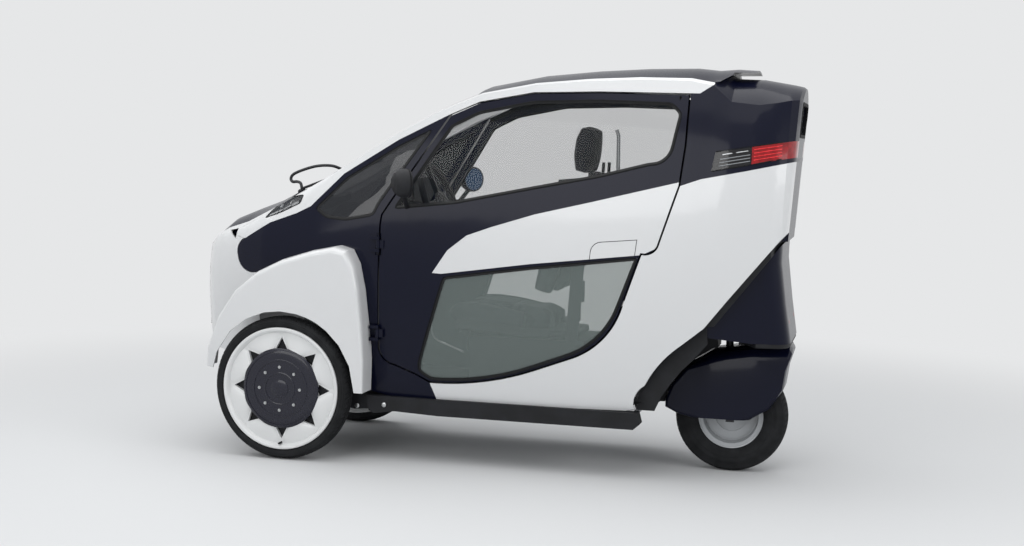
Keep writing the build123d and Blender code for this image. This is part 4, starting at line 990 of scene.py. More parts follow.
HEAD_POSTS = [bar([(-0.412, y, 1.02), (-0.418, y, 1.13)], 0.006) for y in (0.055, -0.055)]
front_shell = joined([
    shell_plate(upright(CUSHION_LINE), 8.0, 200.0, 88.0), shell_plate(BACK_LINE, 8.0, 200.0, 92.0),
    *HEAD_POSTS, rounded_box((-0.34, -0.14, 0.470), (0.06, 0.14, 0.500), 0.012),
])
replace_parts(piece("front_seat_shell", front_shell, abs_black, "body"), "front_seat")
rear_shell = joined([
    shell_plate(upright(REAR_CUSHION_LINE), 6.0, 188.0, 58.0), shell_plate(REAR_BACK_LINE, 6.0, 188.0, 56.0),
])
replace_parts(piece("rear_seat_shell", rear_shell, abs_black, "body"), "rear_seat")
print("seats done")

# %% [markdown]
# ## Wheel openings
# The eight pointed openings of the rim look dark: the motor's dust shield stands close behind them, and its flat
# black is also painted shade in the openings. It is one flat ring in the rim's hollow side, a few millimetres from the
# web.

# %% Dust shield behind the rim's web, its black also painted shade in the openings
# A flat black ring: it stands for the motor's dust shield, and its black paints the shade in the rim's openings
shield_painted_shade = at_wheel(((139.5, 5.0), (202.0, 5.0), (202.0, 8.5), (139.5, 8.5)), 64)
two_sides("rim_dust_shield", shield_painted_shade, abs_black, WHEELS)
print("dust shields 2")

# %% [markdown]
# ## Plates laid on the body
# The back of a headlamp is a thin plate that follows the side. An outline is filled with rings that shrink to its
# middle, and each point is dropped on the surface, above and below. A lamp of two colours is one CAD node cut across.

# %% Laid plates and cut nodes
def laid_plate(tree, rows, lift, thick, corner=0.0, rings=5, step=12.0):
    points = trace(rows)
    if corner:
        points = softened(points, corner)
    points = refined(points, step)
    mx = sum(p[0] for p in points) / len(points)
    mz = sum(p[1] for p in points) / len(points)
    layers = []
    for height in (lift, lift - thick):
        layer = []
        for k in range(rings):
            scale = 1.0 - k / rings
            for x, z in points:
                at, normal = on_side(tree, mx + (x - mx) * scale, mz + (z - mz) * scale)
                layer.append(tuple(at + normal * height * MM))
        at, normal = on_side(tree, mx, mz)
        layer.append(tuple(at + normal * height * MM))
        layers.append(layer)
    count, total = len(points), len(layers[0])
    faces = []
    for base, flip in ((0, False), (total, True)):
        for k in range(rings - 1):
            for i in range(count):
                j = (i + 1) % count
                outer, inner = base + k * count, base + (k + 1) * count
                quad = (outer + i, outer + j, inner + j, inner + i)
                faces.append(tuple(reversed(quad)) if flip else quad)
        for i in range(count):
            j = (i + 1) % count
            tri = (base + (rings - 1) * count + i, base + (rings - 1) * count + j, base + total - 1)
            faces.append(tuple(reversed(tri)) if flip else tri)
    for i in range(count):
        j = (i + 1) % count
        faces.append((i, i + total, j + total, j))
    return layers[0] + layers[1], faces


def split_node(node_name, plane_x, keep_front):
    # A merged copy of a node, cut across at plane_x and closed again
    bm = bmesh.new()
    bm.from_mesh(nodes[node_name].data)
    bmesh.ops.remove_doubles(bm, verts=bm.verts, dist=JOIN_GAP)
    cut = bmesh.ops.bisect_plane(
        bm, geom=bm.verts[:] + bm.edges[:] + bm.faces[:], plane_co=(plane_x, 0, 0), plane_no=(1, 0, 0),
        clear_inner=keep_front, clear_outer=not keep_front,
    )
    edges = [item for item in cut["geom_cut"] if isinstance(item, bmesh.types.BMEdge)]
    bmesh.ops.holes_fill(bm, edges=edges, sides=0)
    bm.verts.index_update()
    part = ([tuple(v.co) for v in bm.verts], [tuple(v.index for v in face.verts) for face in bm.faces])
    bm.free()
    return part


print("laid plates ready")

# %% [markdown]
# ## Lamps
# The tail lamp is one slim strip round the corner: a smoked clear front half with pale streaks, and a red half
# behind it. The headlamp is a dark bowl under a clear cover, with a white light blade along its low edge.

# %% Tail lamps
LAMP_SPLIT_X, LAMP_SEAM = -0.985, 0.0006
lamp_side = surface_of("tail_upper", "tail_lamps", "rear_quarters")
clear_half = split_node("tail_lamps", LAMP_SPLIT_X + LAMP_SEAM, True)
red_half = split_node("tail_lamps", LAMP_SPLIT_X, False)
piece("tail_lamp_clear_halves", clear_half, ribbed_clear, "body", 30.0)
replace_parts(piece("tail_lamp_red_halves", red_half, red_lens, "body", 30.0), "tail_lamps")
lit_red, tree, shader = finish_base("lit_red_acrylic", "#D3262C", 0.2, extra={
    "Emission Color": linear("#FF2A2A"), "Emission Strength": 0.12,
})
mottled(tree, shader, 9.0, "#C41A22", "#E0343A")
STREAK = ((-1.6, 0.1), (-1.2, 1.2), (1.2, 1.2), (1.6, 0.1))


def lamp_streak(share, from_x, to_x):
    # A line along the lamp at a share of its height
    row = []
    for x in (from_x, (from_x + to_x) / 2, to_x):
        low = 1111.0 - (x + 848.0) * 0.191
        high = 1177.0 - (x + 860.0) * 0.164
        row.append((x, low + (high - low) * share))
    return laid_line(lamp_side, row, STREAK, closed=False, step=12.0)


for name, streaks, material in (
    ("tail_lamp_ribs", [(share, -872.0 - 10.0 * share, -980.0) for share in (0.2, 0.38, 0.56)], casting),
    ("tail_lamp_dashes", [(0.8, -885.0, -918.0), (0.8, -932.0, -972.0)], bright_trim),
    ("tail_lamp_light_lines", [(share, -992.0, -1085.0) for share in (0.22, 0.42, 0.62, 0.82)], lit_red),
):
    two_sides(name, joined([lamp_streak(*streak) for streak in streaks]), material, BODY)
LAMP_EDGES = (
    ((-862.0, 1180.0), (-1000.0, 1203.0), (-1085.0, 1217.0)), ((-850.0, 1108.0), (-1000.0, 1137.0), (-1085.0, 1155.0)),
)
lamp_seals = joined([laid_line(lamp_side, rows, bead(4.0, -1.0, 1.4), closed=False) for rows in LAMP_EDGES])
two_sides("tail_lamp_seals", lamp_seals, seal_rubber, BODY)
print("tail lamps streaked")

# %% Headlamps
HEADLAMP_ROWS = ((853.0, 893.0), (780.0, 918.0), (701.0, 955.0), (693.0, 985.0), (800.0, 968.0))
lamp_white = finish("opal_light_guide", "#E8EAEC", 0.3, coat=0.4, spread=(6.0, 0.25, 0.38))
two_sides("headlamp_bowls", laid_plate(front_side, HEADLAMP_ROWS, -9.0, 3.0), frit_black, BODY)
BLADE_LINE = ((842.0, 900.0), (780.0, 922.0), (712.0, 956.0))
BLADE_SHAPE = ((-1.0, -7.5), (-1.0, -4.0), (9.0, -4.0), (9.0, -7.5))
blade = laid_line(front_side, BLADE_LINE, BLADE_SHAPE, closed=False, step=10.0)
two_sides("headlamp_light_blades", blade, lamp_white, BODY)
EYES_AT = ((792.0, 942.0), (744.0, 958.0))
EYE_SHAPE = ((0.01, -8.0), (5.0, -8.0), (7.5, -3.5), (9.5, -3.0), (9.5, -8.6), (0.01, -8.6))
eyes = []
for x, z in EYES_AT:
    at, normal = on_side(front_side, x, z)
    eyes.append(moved(turned(EYE_SHAPE, (0, 0, 0), "Z", 24), facing(normal, at)))
two_sides("headlamp_eyes", joined(eyes), bright_trim, BODY)
two_sides(
    "headlamp_seals", laid_line(front_side, HEADLAMP_ROWS, bead(4.0, -1.0, 1.2, -2.0), corner=6.0), seal_rubber, BODY,
)
print("headlamps done")

# %% [markdown]
# ## Rear arch and tail
# Behind the white quarters the arch is lined in black plastic, which hides the frame. Skirts hang from the
# quarters' inner sides, a tray closes the tail from below, and a wheel house fills the middle over the steered
# cover. Skirts and tray stand outside the room that the cover sweeps. The wheel house is shaped for straight
# travel, and the cover meets it near full lock.

# %% Rear arch skirts, tray and wheel house
SKIRT_LINE = (
    (-602.0, 250.0), (-608.0, 300.0), (-640.0, 350.0), (-704.0, 446.0), (-770.0, 506.0), (-845.0, 566.0),
)
SKIRT_Y = (0.2700, 0.2745)
inner_line = SKIRT_LINE + (
    (-850.0, 500.0), (-800.0, 440.0), (-760.0, 400.0), (-722.0, 350.0), (-690.0, 300.0), (-668.0, 250.0),
)
rings = [[(x * MM, y, z * MM) for x, z in refined(list(inner_line), 30.0)] for y in SKIRT_Y]
two_sides("rear_arch_skirts", tube_of(rings), abs_black, BODY)
LIP_SHAPE = ((-1.0, -29.5), (-1.0, -1.0), (3.0, -1.0), (3.0, -29.5))
flange = laid_line(lamp_side, tuple(reversed(SKIRT_LINE)), LIP_SHAPE, closed=False)
two_sides("rear_arch_lips", flange, seal_rubber, BODY)

# The tray under the tail: its outline is the hull of the tail's lowest corners, its hole clears the steering stem
TRAY_LOW_Z, TRAY_TOP_Z, STEM_HOLE_R, STEER_AT_X, TRAY_RAYS = 0.4888, 0.5062, 0.034, -0.900, 96
low_corners = sorted({
    (round(v.co.x, 4), round(v.co.y, 4)) for v in nodes["tail_lower"].data.vertices if v.co.z < TRAY_TOP_Z + 0.0003
})


def half_hull(corners):
    kept = []
    for corner in corners:
        while len(kept) > 1 and (
            (kept[-1][0] - kept[-2][0]) * (corner[1] - kept[-2][1])
            - (kept[-1][1] - kept[-2][1]) * (corner[0] - kept[-2][0])
        ) <= 0:
            kept.pop()
        kept.append(corner)
    return kept[:-1]


hull = half_hull(low_corners) + half_hull(list(reversed(low_corners)))
tray_rings = []
for i in range(TRAY_RAYS):
    way = Vector((math.cos(2 * math.pi * i / TRAY_RAYS), math.sin(2 * math.pi * i / TRAY_RAYS)))
    reach = STEM_HOLE_R
    for k, (ax, ay) in enumerate(hull):
        bx, by = hull[(k + 1) % len(hull)]
        ex, ey, px, py = bx - ax, by - ay, ax - STEER_AT_X, ay
        cross = way.x * ey - way.y * ex
        if abs(cross) > 1e-9:
            t, s = (px * ey - py * ex) / cross, (px * way.y - py * way.x) / cross
            if t > 0 and -1e-6 <= s <= 1 + 1e-6:
                reach = max(reach, t - 0.002)
    tray_rings.append([
        (STEER_AT_X + way.x * r, way.y * r, z)
        for r, z in ((STEM_HOLE_R, TRAY_LOW_Z), (reach - 0.006, TRAY_LOW_Z), (reach, TRAY_LOW_Z + 0.004),
                     (reach, TRAY_TOP_Z), (STEM_HOLE_R, TRAY_TOP_Z))
    ])
piece("tail_under_tray", tube_of(tray_rings, closed=True), abs_black, "body")
HOUSE_HALF_W = 0.056
HOUSE_ROWS = (
    (-602.0, 248.0), (-606.0, 305.0), (-641.0, 350.0), (-705.0, 446.0), (-771.0, 506.0), (-843.0, 562.0),
    (-862.0, 562.0), (-862.0, 461.0), (-847.0, 458.5), (-750.0, 394.0), (-696.5, 329.5), (-673.0, 270.0),
    (-672.0, 248.0),
)
REAR_HOUSE_ROWS = ((-938.0, 490.0), (-938.0, 474.5), (-1000.0, 485.0), (-1060.0, 487.0), (-1060.0, 490.0))
houses = joined([
    tube_of([[(x * MM, y, z * MM) for x, z in rows] for y in (-HOUSE_HALF_W, HOUSE_HALF_W)])
    for rows in (HOUSE_ROWS, REAR_HOUSE_ROWS)
])
piece("wheel_house_liner", houses, abs_black, "body")
print("rear arch lined")

# %% Rear reflectors and window frame
REFLECTOR_SHAPE = ((0.01, -3.0), (20.0, -3.0), (20.0, 1.0), (17.0, 3.0), (0.01, 3.4))
reflectors = joined([turned(REFLECTOR_SHAPE, (-1.1185, y, 0.565), "X", 40, -1) for y in (-0.120, 0.120)])
piece("rear_reflectors", reflectors, red_lens, "body")
rear_skin = surface_of("tail_upper", "tail_lower")


def on_rear(y, z):
    hit = rear_skin.ray_cast(Vector((-2.0, y, z)), Vector((1, 0, 0)))
    return hit[0] if hit[0] is not None else Vector((-1.14, y, z))


REAR_PANE_HALF_W, REAR_PANE_LOW_Z, REAR_PANE_HIGH_Z, REAR_SEAL_HALF = 0.142, 1.238, 1.352, 0.006
REAR_PANE_MID_Z = (REAR_PANE_LOW_Z + REAR_PANE_HIGH_Z) / 2
frame_line = [
    (-REAR_PANE_HALF_W, REAR_PANE_LOW_Z), (REAR_PANE_HALF_W, REAR_PANE_LOW_Z),
    (REAR_PANE_HALF_W, REAR_PANE_HIGH_Z), (-REAR_PANE_HALF_W, REAR_PANE_HIGH_Z),
]
frame_rings = []
for y, z in refined(softened(frame_line, 0.02), 0.02):
    out_y, out_z = math.copysign(REAR_SEAL_HALF, y), math.copysign(REAR_SEAL_HALF, z - REAR_PANE_MID_Z)
    x = on_rear(y + out_y, z + out_z).x
    frame_rings.append([
        (x - 0.002, y + out_y, z + out_z), (x - 0.003, y, z), (x - 0.002, y - out_y, z - out_z),
        (x + 0.006, y - out_y, z - out_z), (x + 0.006, y + out_y, z + out_z),
    ])
piece("rear_window_seal", tube_of(frame_rings, closed=True), seal_rubber, "body")
print("tail dressed")

# %% [markdown]
# ## Front
# Air for the motors' controller enters through a low slot in the nose. Its slats are one slat repeated by a tree.
# A tray closes the front from below. The wiper's blade lies on the windscreen and its arm rises from the bonnet in
# a loop, and each round mirror gets a pane and a rim.

# %% Row tree and nose inlet
tree, start = new_group("row_of_bars", (
    ("Count", "Int", 6), ("Step", "Vector", None), ("Size", "Vector", None), ("Finish", "Material", None),
))
line = add_node(tree, "GeometryNodeMeshLine", links={
    "Count": start.outputs["Count"], "Offset": start.outputs["Step"],
})
one_bar = add_node(tree, "GeometryNodeMeshCube", links={"Size": start.outputs["Size"]})
row_of_bars = instanced(tree, start, {"Points": line.outputs[0], "Instance": one_bar.outputs["Mesh"]})


def bars(count, step, size, material, start_at):
    return grown(row_of_bars, {
        "Count": count, "Step": Vector(step), "Size": Vector(size), "Finish": material,
    }, Matrix.Translation(start_at))


nose_skin = surface_of("nose")


def on_nose(y, z):
    hit = nose_skin.ray_cast(Vector((2.0, y, z)), Vector((-1, 0, 0)))
    return hit[0] if hit[0] is not None else Vector((1.16, y, z))


INLET_HALF_W, INLET_LOW_Z, INLET_MID_Z, INLET_HIGH_Z, INLET_FLARE = 0.075, 0.445, 0.465, 0.485, 0.008
inlet_line = [
    (-INLET_HALF_W, INLET_LOW_Z), (INLET_HALF_W, INLET_LOW_Z), (INLET_HALF_W + INLET_FLARE, INLET_HIGH_Z),
    (-INLET_HALF_W - INLET_FLARE, INLET_HIGH_Z),
]
inlet_rings = []
for y, z in refined(softened(inlet_line, 0.012), 0.012):
    x, z_in = on_nose(y, z).x, INLET_MID_Z + (z - INLET_MID_Z) * 0.78
    inlet_rings.append([
        (x - 0.003, y, z), (x + 0.0015, y * 1.01, z), (x + 0.0015, y * 0.95, z_in), (x - 0.003, y * 0.95, z_in),
    ])
piece("nose_inlet_frame", tube_of(inlet_rings, closed=True), abs_black, "body")
slat_at = (on_nose(0.0, INLET_MID_Z).x - 0.0015, 0, 0.4525)
slats = bars(4, (0, 0, 0.0085), (0.006, 2 * INLET_HALF_W - 0.004, 0.0035), abs_black, slat_at)
piece("nose_inlet_slats", slats, abs_black, "body")
print("nose inlet slats 4")

# %% Front undertray
UNDERTRAY_ROWS = (
    (0.414, 0.243), (0.560, 0.258), (0.585, 0.250), (0.585, 0.232), (0.520, 0.196), (0.470, 0.186), (0.414, 0.190),
)
# Its ends are eased: the last 6 mm on each side is 4 mm thinner above and below
TRAY_END_Y, TRAY_EASE_Y, TRAY_EASE, TRAY_WAIST_Z = 0.300, 0.294, 0.004, 0.22
tray_rings = []
for y, ease in ((-TRAY_END_Y, TRAY_EASE), (-TRAY_EASE_Y, 0.0), (TRAY_EASE_Y, 0.0), (TRAY_END_Y, TRAY_EASE)):
    tray_rings.append([(x, y, z + (ease if z < TRAY_WAIST_Z else -ease)) for x, z in UNDERTRAY_ROWS])
piece("front_undertray", tube_of(tray_rings), abs_black, "body")
BOLT_SHAPE = ((0.01, -1.0), (9.0, -1.0), (9.0, 3.0), (6.0, 4.5), (0.01, 4.5))
BOLTS_AT = ((0.34, 0.322, 0.214), (0.455, 0.300, 0.200))
tray_bolts = [turned(BOLT_SHAPE, (x, side * y, z), "Y", 16, side) for side in (-1, 1) for x, y, z in BOLTS_AT]
piece("undertray_bolts", joined(tray_bolts), zinc_steel, "body")
print("undertray bolts", len(tray_bolts))

# %% Wiper blade and mirror glass
top_skin = surface_of("windshield", "hood", "roof_panel", "white_bands")


def on_top(x, y):
    return top_skin.ray_cast(Vector((x, y, 2.0)), Vector((0, 0, -1)))[0]


def refined_line(points, count):
    # A smooth line through points, with count steps between two of them
    line = []
    for i in range(len(points) - 1):
        p0, p1 = Vector(points[max(i - 1, 0)]), Vector(points[i])
        p2, p3 = Vector(points[i + 1]), Vector(points[min(i + 2, len(points) - 1)])
        for k in range(count):
            t = k / count
            line.append(0.5 * (
                2 * p1 + (p2 - p0) * t + (2 * p0 - 5 * p1 + 4 * p2 - p3) * t * t + (3 * p1 - p0 - 3 * p2 + p3) * t ** 3
            ))
    return line + [Vector(points[-1])]


BLADE_STEPS, BLADE_FROM, BLADE_RUN = 24, (0.735, 0.035), 0.20
blade_rings = []
for i in range(BLADE_STEPS + 1):
    run = BLADE_RUN * i / BLADE_STEPS
    x, y = BLADE_FROM[0] - run, BLADE_FROM[1] - run
    z = on_top(x, y).z
    blade_rings.append([
        (x - 0.003, y + 0.003, z + 0.0105), (x + 0.003, y - 0.003, z + 0.0105), (x + 0.004, y - 0.004, z + 0.005),
        (x + 0.0008, y - 0.0008, z + 0.0005), (x - 0.0008, y + 0.0008, z + 0.0005), (x - 0.004, y + 0.004, z + 0.005),
    ])
piece("wiper_blade", tube_of(blade_rings), seal_rubber, "body")
ARM_LINE = [
    (0.800, 0.030, 0.975), (0.806, 0.028, 1.018), (0.828, 0.016, 1.027), (0.852, 0.004, 1.026), (0.862, 0.0, 1.038),
    (0.849, 0.0, 1.057), (0.802, -0.002, 1.077), (0.751, -0.010, 1.091), (0.700, -0.024, 1.093),
    (0.668, -0.040, 1.082), (0.650, -0.056, 1.068),
]
piece("wiper_arm", bar(refined_line(ARM_LINE, 4), 0.006, 10), steel, "body")
PIVOT_SHAPE = ((0.01, -12.0), (17.0, -12.0), (17.0, 8.0), (12.0, 14.0), (0.01, 14.0))
piece("wiper_pivot", turned(PIVOT_SHAPE, (0.800, 0.030, 0.984), "Z", 24), abs_black, "body")
MIRROR_AT, MIRROR_TURN = Vector((0.240, 0.425, 1.044)), math.radians(35)
place_mirror = facing((math.cos(MIRROR_TURN), math.sin(MIRROR_TURN), 0), MIRROR_AT)
MIRROR_PANE = ((0.01, -22.2), (45.0, -22.2), (46.0, -20.8), (46.0, -19.0), (0.01, -19.0))
MIRROR_RIM = ((46.0, -19.0), (46.0, -23.4), (48.5, -24.0), (51.0, -22.0), (51.0, -18.0))
for name, shape, material, slot in (
    ("mirror_glass", MIRROR_PANE, mirror_glass, None), ("mirror_rims", MIRROR_RIM, abs_black, "black_plastic"),
):
    two_sides(name, moved(turned(shape, (0, 0, 0), "Z", 72), place_mirror), material, DOORS)
print("mirrors dressed")

# %% [markdown]
# ## Cabin
# The cabin has a felt roof lining, a dashboard with a screen and vents, a padded steering wheel hub, grab bars on
# the doors, a ribbed floor mat and belts at both seats.

# %% Door gaskets
DOOR_SEAL_LINE = (
    (219.0, 333.0), (164.0, 306.0), (60.0, 311.0), (-40.0, 322.0), (-140.0, 344.0), (-238.0, 377.0), (-377.0, 430.0),
    (-460.0, 482.0), (-520.0, 556.0), (-580.0, 700.0), (-618.0, 812.0), (-660.0, 822.0), (-680.0, 856.0),
    (-744.0, 1057.0), (-759.0, 1199.0), (-764.0, 1372.0), (-439.0, 1380.0), (-198.0, 1375.0), (3.0, 1340.0),
    (110.0, 1292.0),
)
SEAL_SHAPE = ((-9.0, -31.5), (-9.0, -29.5), (-3.0, -28.6), (3.0, -28.6), (9.0, -29.5), (9.0, -31.5))
ON_DOOR = 9.0
seal_points = refined(list(DOOR_SEAL_LINE), 16.0, False)
seal_sides = normals_of(seal_points, False)
inward = -1.0 if seal_sides[0][1] < 0 else 1.0
rings = []
for (x, z), (nx, nz) in zip(seal_points, seal_sides):
    at, normal = on_side(door_side, x + inward * nx * ON_DOOR, z + inward * nz * ON_DOOR)
    across = Vector((nx, 0, nz)) * inward
    across = (across - normal * across.dot(normal)).normalized()
    rings.append([tuple(at + across * (inset - ON_DOOR) * MM + normal * lift * MM) for inset, lift in SEAL_SHAPE])
two_sides("door_gaskets", tube_of(rings), seal_rubber, BODY)
print("door gaskets laid")

# %% Roof lining and dashboard
lining_x = [0.02 - 0.06 * i for i in range(13)]
lining_y = [-0.20 + 0.04 * i for i in range(11)]
under = surface_of("roof_panel", "white_bands", "windshield", "tail_upper")
layers = []
for drop in (0.004, 0.009):
    rows = []
    for x in lining_x:
        for y in lining_y:
            hit = under.ray_cast(Vector((x, y, 1.15)), Vector((0, 0, 1)))
            rows.append((x, y, (hit[0].z if hit[0] is not None else 1.38) - drop))
    layers.append(rows)
across, along = len(lining_y), len(lining_x)
piece("roof_lining", (layers[0] + layers[1], sheet_faces(across, along)), roof_felt, "body")
screen_case = rounded_box((0.376, -0.105, 0.955), (0.398, 0.105, 1.040), 0.007)
screen_pane = rounded_box((0.3745, -0.096, 0.963), (0.3775, 0.096, 1.032), 0.0012, 2)
screen_foot = rounded_box((0.384, -0.03, 0.925), (0.412, 0.03, 0.962), 0.006)
piece("dash_screen_case", screen_case, abs_black, "body")
piece("dash_screen_pane", screen_pane, frit_black, "body")
piece("dash_screen_foot", screen_foot, abs_black, "body")
VENT_RING = ((26.0, -4.0), (26.0, 3.0), (29.0, 4.5), (32.0, 3.0), (32.0, -4.0))
vents = []
for y in (-0.215, 0.215):
    ring = turned(VENT_RING, (0.381, y, 0.890), "X", 40, -1)
    vents += [ring, bars(5, (0, 0, 0.009), (0.008, 0.048, 0.002), abs_black, (0.382, y, 0.872))]
piece("dash_vents", joined(vents), bright_trim, "body")
print("roof lining", along, "by", across, "dashboard dressed")

# %% Steering wheel hub and spokes
STEER_AT, STEER_WAY = Vector((0.230, 0.0, 0.950)), Vector((150, 0, -60)).normalized()
place_hub = facing(STEER_WAY, STEER_AT)
HUB_SHAPE = ((0.01, -26.0), (34.0, -25.0), (48.0, -19.0), (54.0, -10.0), (52.0, 2.0), (38.0, 8.0), (0.01, 8.0))
hub_pad = moved(turned(HUB_SHAPE, (0, 0, 0), "Z", 48), place_hub)
piece("steering_hub_pad", hub_pad, abs_black, "steering")
SPOKE_STEPS, SPOKE_THICK = 8, 0.0115
SPOKE_SHAPE = ((-1, -0.6), (-0.7, -1), (0.7, -1), (1, -0.6), (1, 0.6), (0.7, 1), (-0.7, 1), (-1, 0.6))
spokes = []
for out_x, out_y in ((1, 0), (-1, 0), (0, -1)):
    rings = []
    for t in range(SPOKE_STEPS + 1):
        reach = (45.0 + 112.0 * t / SPOKE_STEPS) * MM
        width = (30.0 - 12.0 * t / SPOKE_STEPS) * MM / 2
        rings.append([
            (out_x * reach - out_y * a * width, out_y * reach + out_x * a * width, b * SPOKE_THICK)
            for a, b in SPOKE_SHAPE
        ])
    spokes.append(tube_of(rings))
piece("steering_spoke_covers", moved(joined(spokes), place_hub), gloss_navy, "steering")
print("steering wheel dressed")

# %% Floor mat, grab bars and belts
mat_plate = rounded_box((-0.02, -0.225, 0.2704), (0.385, 0.225, 0.2764), 0.0025, 2)
mat_ribs = bars(32, (0.012, 0, 0), (0.005, 0.42, 0.004), seal_rubber, (0.0, 0, 0.278))
piece("ribbed_floor_mat", joined([mat_plate, mat_ribs]), seal_rubber, "body")
door_inside = surface_of("door_shell_left")


def on_door_inside(x, z):
    hit = door_inside.ray_cast(Vector((x, 0.15, z)), Vector((0, 1, 0)))
    return hit[0] if hit[0] is not None else Vector((x, 0.318, z))


# The bar runs along the door's inside and turns in to its skin at both ends
GRAB_STEPS, GRAB_FROM, GRAB_RUN, GRAB_STAND = 14, (-0.46, 0.865), (0.42, -0.035), 0.034
grab = []
for i in range(GRAB_STEPS + 1):
    s = i / GRAB_STEPS
    x, z = GRAB_FROM[0] + GRAB_RUN[0] * s, GRAB_FROM[1] + GRAB_RUN[1] * s
    stand = GRAB_STAND * min(1.0, 7 * s, 7 * (1 - s))
    grab.append((x, on_door_inside(x, z).y - stand + 0.004, z))
two_sides("door_grab_bars", bar(grab, 0.010, 12), abs_black, DOORS)


def strap(points, across_dir, half_w, thick):
    # A flat belt through points, its width along the given direction
    points = [Vector(p) for p in points]
    wide = Vector(across_dir).normalized() * half_w
    rings = []
    for i, at in enumerate(points):
        way = (points[min(i + 1, len(points) - 1)] - points[max(i - 1, 0)]).normalized()
        high = way.cross(wide).normalized() * thick / 2
        rings.append([at + wide + high, at - wide + high, at - wide - high, at + wide - high])
    return tube_of(rings)


BELT_HALF_W, BELT_THICK = 0.023, 0.0018
FRONT_BELT = (
    (-0.43, 0.268, 1.075), (-0.41, 0.262, 1.00), (-0.39, 0.255, 0.88), (-0.37, 0.250, 0.74), (-0.36, 0.246, 0.60),
    (-0.35, 0.240, 0.48),
)
REAR_BELT = (
    (-0.96, 0.225, 1.09), (-0.93, 0.222, 1.00), (-0.90, 0.218, 0.88), (-0.86, 0.212, 0.76), (-0.82, 0.206, 0.68),
)
belts = joined([
    strap(FRONT_BELT, (1, 0, 0.1), BELT_HALF_W, BELT_THICK), strap(REAR_BELT, (1, 0, 0.3), BELT_HALF_W, BELT_THICK),
])
piece("seat_belts", belts, belt_web, "body", smooth=60.0)
buckles = joined([
    rounded_box((-0.30, -0.222, 0.575), (-0.262, -0.205, 0.66), 0.004),
    rounded_box((-0.79, -0.205, 0.640), (-0.755, -0.190, 0.70), 0.004),
    bar([(-0.281, -0.213, 0.50), (-0.281, -0.213, 0.58)], 0.006),
    rounded_box((-0.452, 0.262, 1.06), (-0.408, 0.290, 1.10), 0.006),
])
piece("belt_buckles", buckles, abs_black, "body")
GUIDE_X, GUIDE_LOW, GUIDE_HIGH = -0.465, 0.810, 1.252
guide = bar([
    (GUIDE_X, 0.0, GUIDE_LOW), (GUIDE_X + 0.004, 0.0, GUIDE_HIGH - 0.02), (GUIDE_X + 0.012, 0.0, GUIDE_HIGH),
], 0.007)
piece("belt_guide_post", guide, bright_trim, "body")
print("cabin dressed")

# %% [markdown]
# ## Under the car
# The battery's cover is ribbed and screwed down. The arms turn in bushes at the frame and in ball joints at the
# wheel carriers.

# %% Underbody details
cover_ribs = [bars(12, (0.075, 0, 0), (0.010, 0.46, 0.006), casting, (-0.515, 0, 0.1765))]
COVER_BOLT = ((0.01, -1.0), (7.0, -1.0), (7.0, -4.5), (5.0, -6.0), (0.01, -6.0))
COVER_BOLTS_X, COVER_BOLTS_Y = (-0.53, -0.35, -0.17, 0.01, 0.19, 0.35), (-0.232, 0.232)
cover_ribs += [turned(COVER_BOLT, (x, y, 0.178), "Z", 12) for y in COVER_BOLTS_Y for x in COVER_BOLTS_X]
piece("battery_cover_ribs", joined(cover_ribs), casting, "body")
FRAME_BUSH = ((10.9, -15.0), (15.0, -13.0), (15.5, 13.0), (10.9, 15.0))
CARRIER_BOOT = ((10.5, -11.0), (17.0, -9.0), (19.0, 0.0), (17.0, 9.0), (10.5, 11.0))
ARM_REACH = {0.215: 0.095, 0.330: 0.085}
bushes = []
for z, reach in ARM_REACH.items():
    for x in (WHEEL_AT.x - reach, WHEEL_AT.x + reach):
        bushes.append(turned(FRAME_BUSH, (x, 0.109, z), "X", 28))
    bushes.append(turned(CARRIER_BOOT, (WHEEL_AT.x, 0.292, z), "Z", 32))
two_sides("suspension_bushes", joined(bushes), seal_rubber, BODY)
frame_screws = screw_ring(6, 0.038, 0.005, 0.005, (1, 0, 0), (0.832, 0.0, 0.275))
piece("front_frame_screws", frame_screws, zinc_steel, "body")
print("underbody dressed")

# %% [markdown]
# ## Floor, light and camera
# The studio has a plain pale floor and large soft lamps. Far from the car the floor takes the backdrop's own
# colour, so no horizon shows. The camera stands where the photograph was taken from, found from the wheels'
# ellipses and the roof line.

# %% Floor
BACKDROP_HEX, BACKDROP_STRENGTH = "#E6E7E8", 1.0
FADE_FROM, FADE_TO = 1.5, 4.2
floor_mesh = bpy.data.meshes.new("studio_floor")
floor_mesh.from_pydata([(-60, -60, 0), (60, -60, 0), (60, 60, 0), (-60, 60, 0)], [], [(0, 1, 2, 3)])
studio_floor = bpy.data.objects.new("studio_floor", floor_mesh)
bpy.context.scene.collection.objects.link(studio_floor)
floor_finish, tree, shader = finish_base("matt_studio_floor", "#D6D7D8", 0.8, extra={"Specular IOR Level": 0.2})
place = add_node(tree, "ShaderNodeTexCoord")
away = add_node(tree, "ShaderNodeVectorMath", {"operation": "LENGTH"}, links={0: place.outputs["Object"]})
fade = add_node(tree, "ShaderNodeMapRange", {"interpolation_type": "SMOOTHSTEP"}, {
    "From Min": FADE_FROM, "From Max": FADE_TO,
}, {"Value": away.outputs["Value"]})


def rays_that_see(tree):
    path = add_node(tree, "ShaderNodeLightPath")
    seen = add_node(tree, "ShaderNodeMath", {"operation": "MAXIMUM"}, links={
        0: path.outputs["Is Camera Ray"], 1: path.outputs["Is Glossy Ray"],
    })
    return add_node(tree, "ShaderNodeMath", {"operation": "MAXIMUM"}, links={
        0: seen.outputs[0], 1: path.outputs["Is Transmission Ray"],
    })


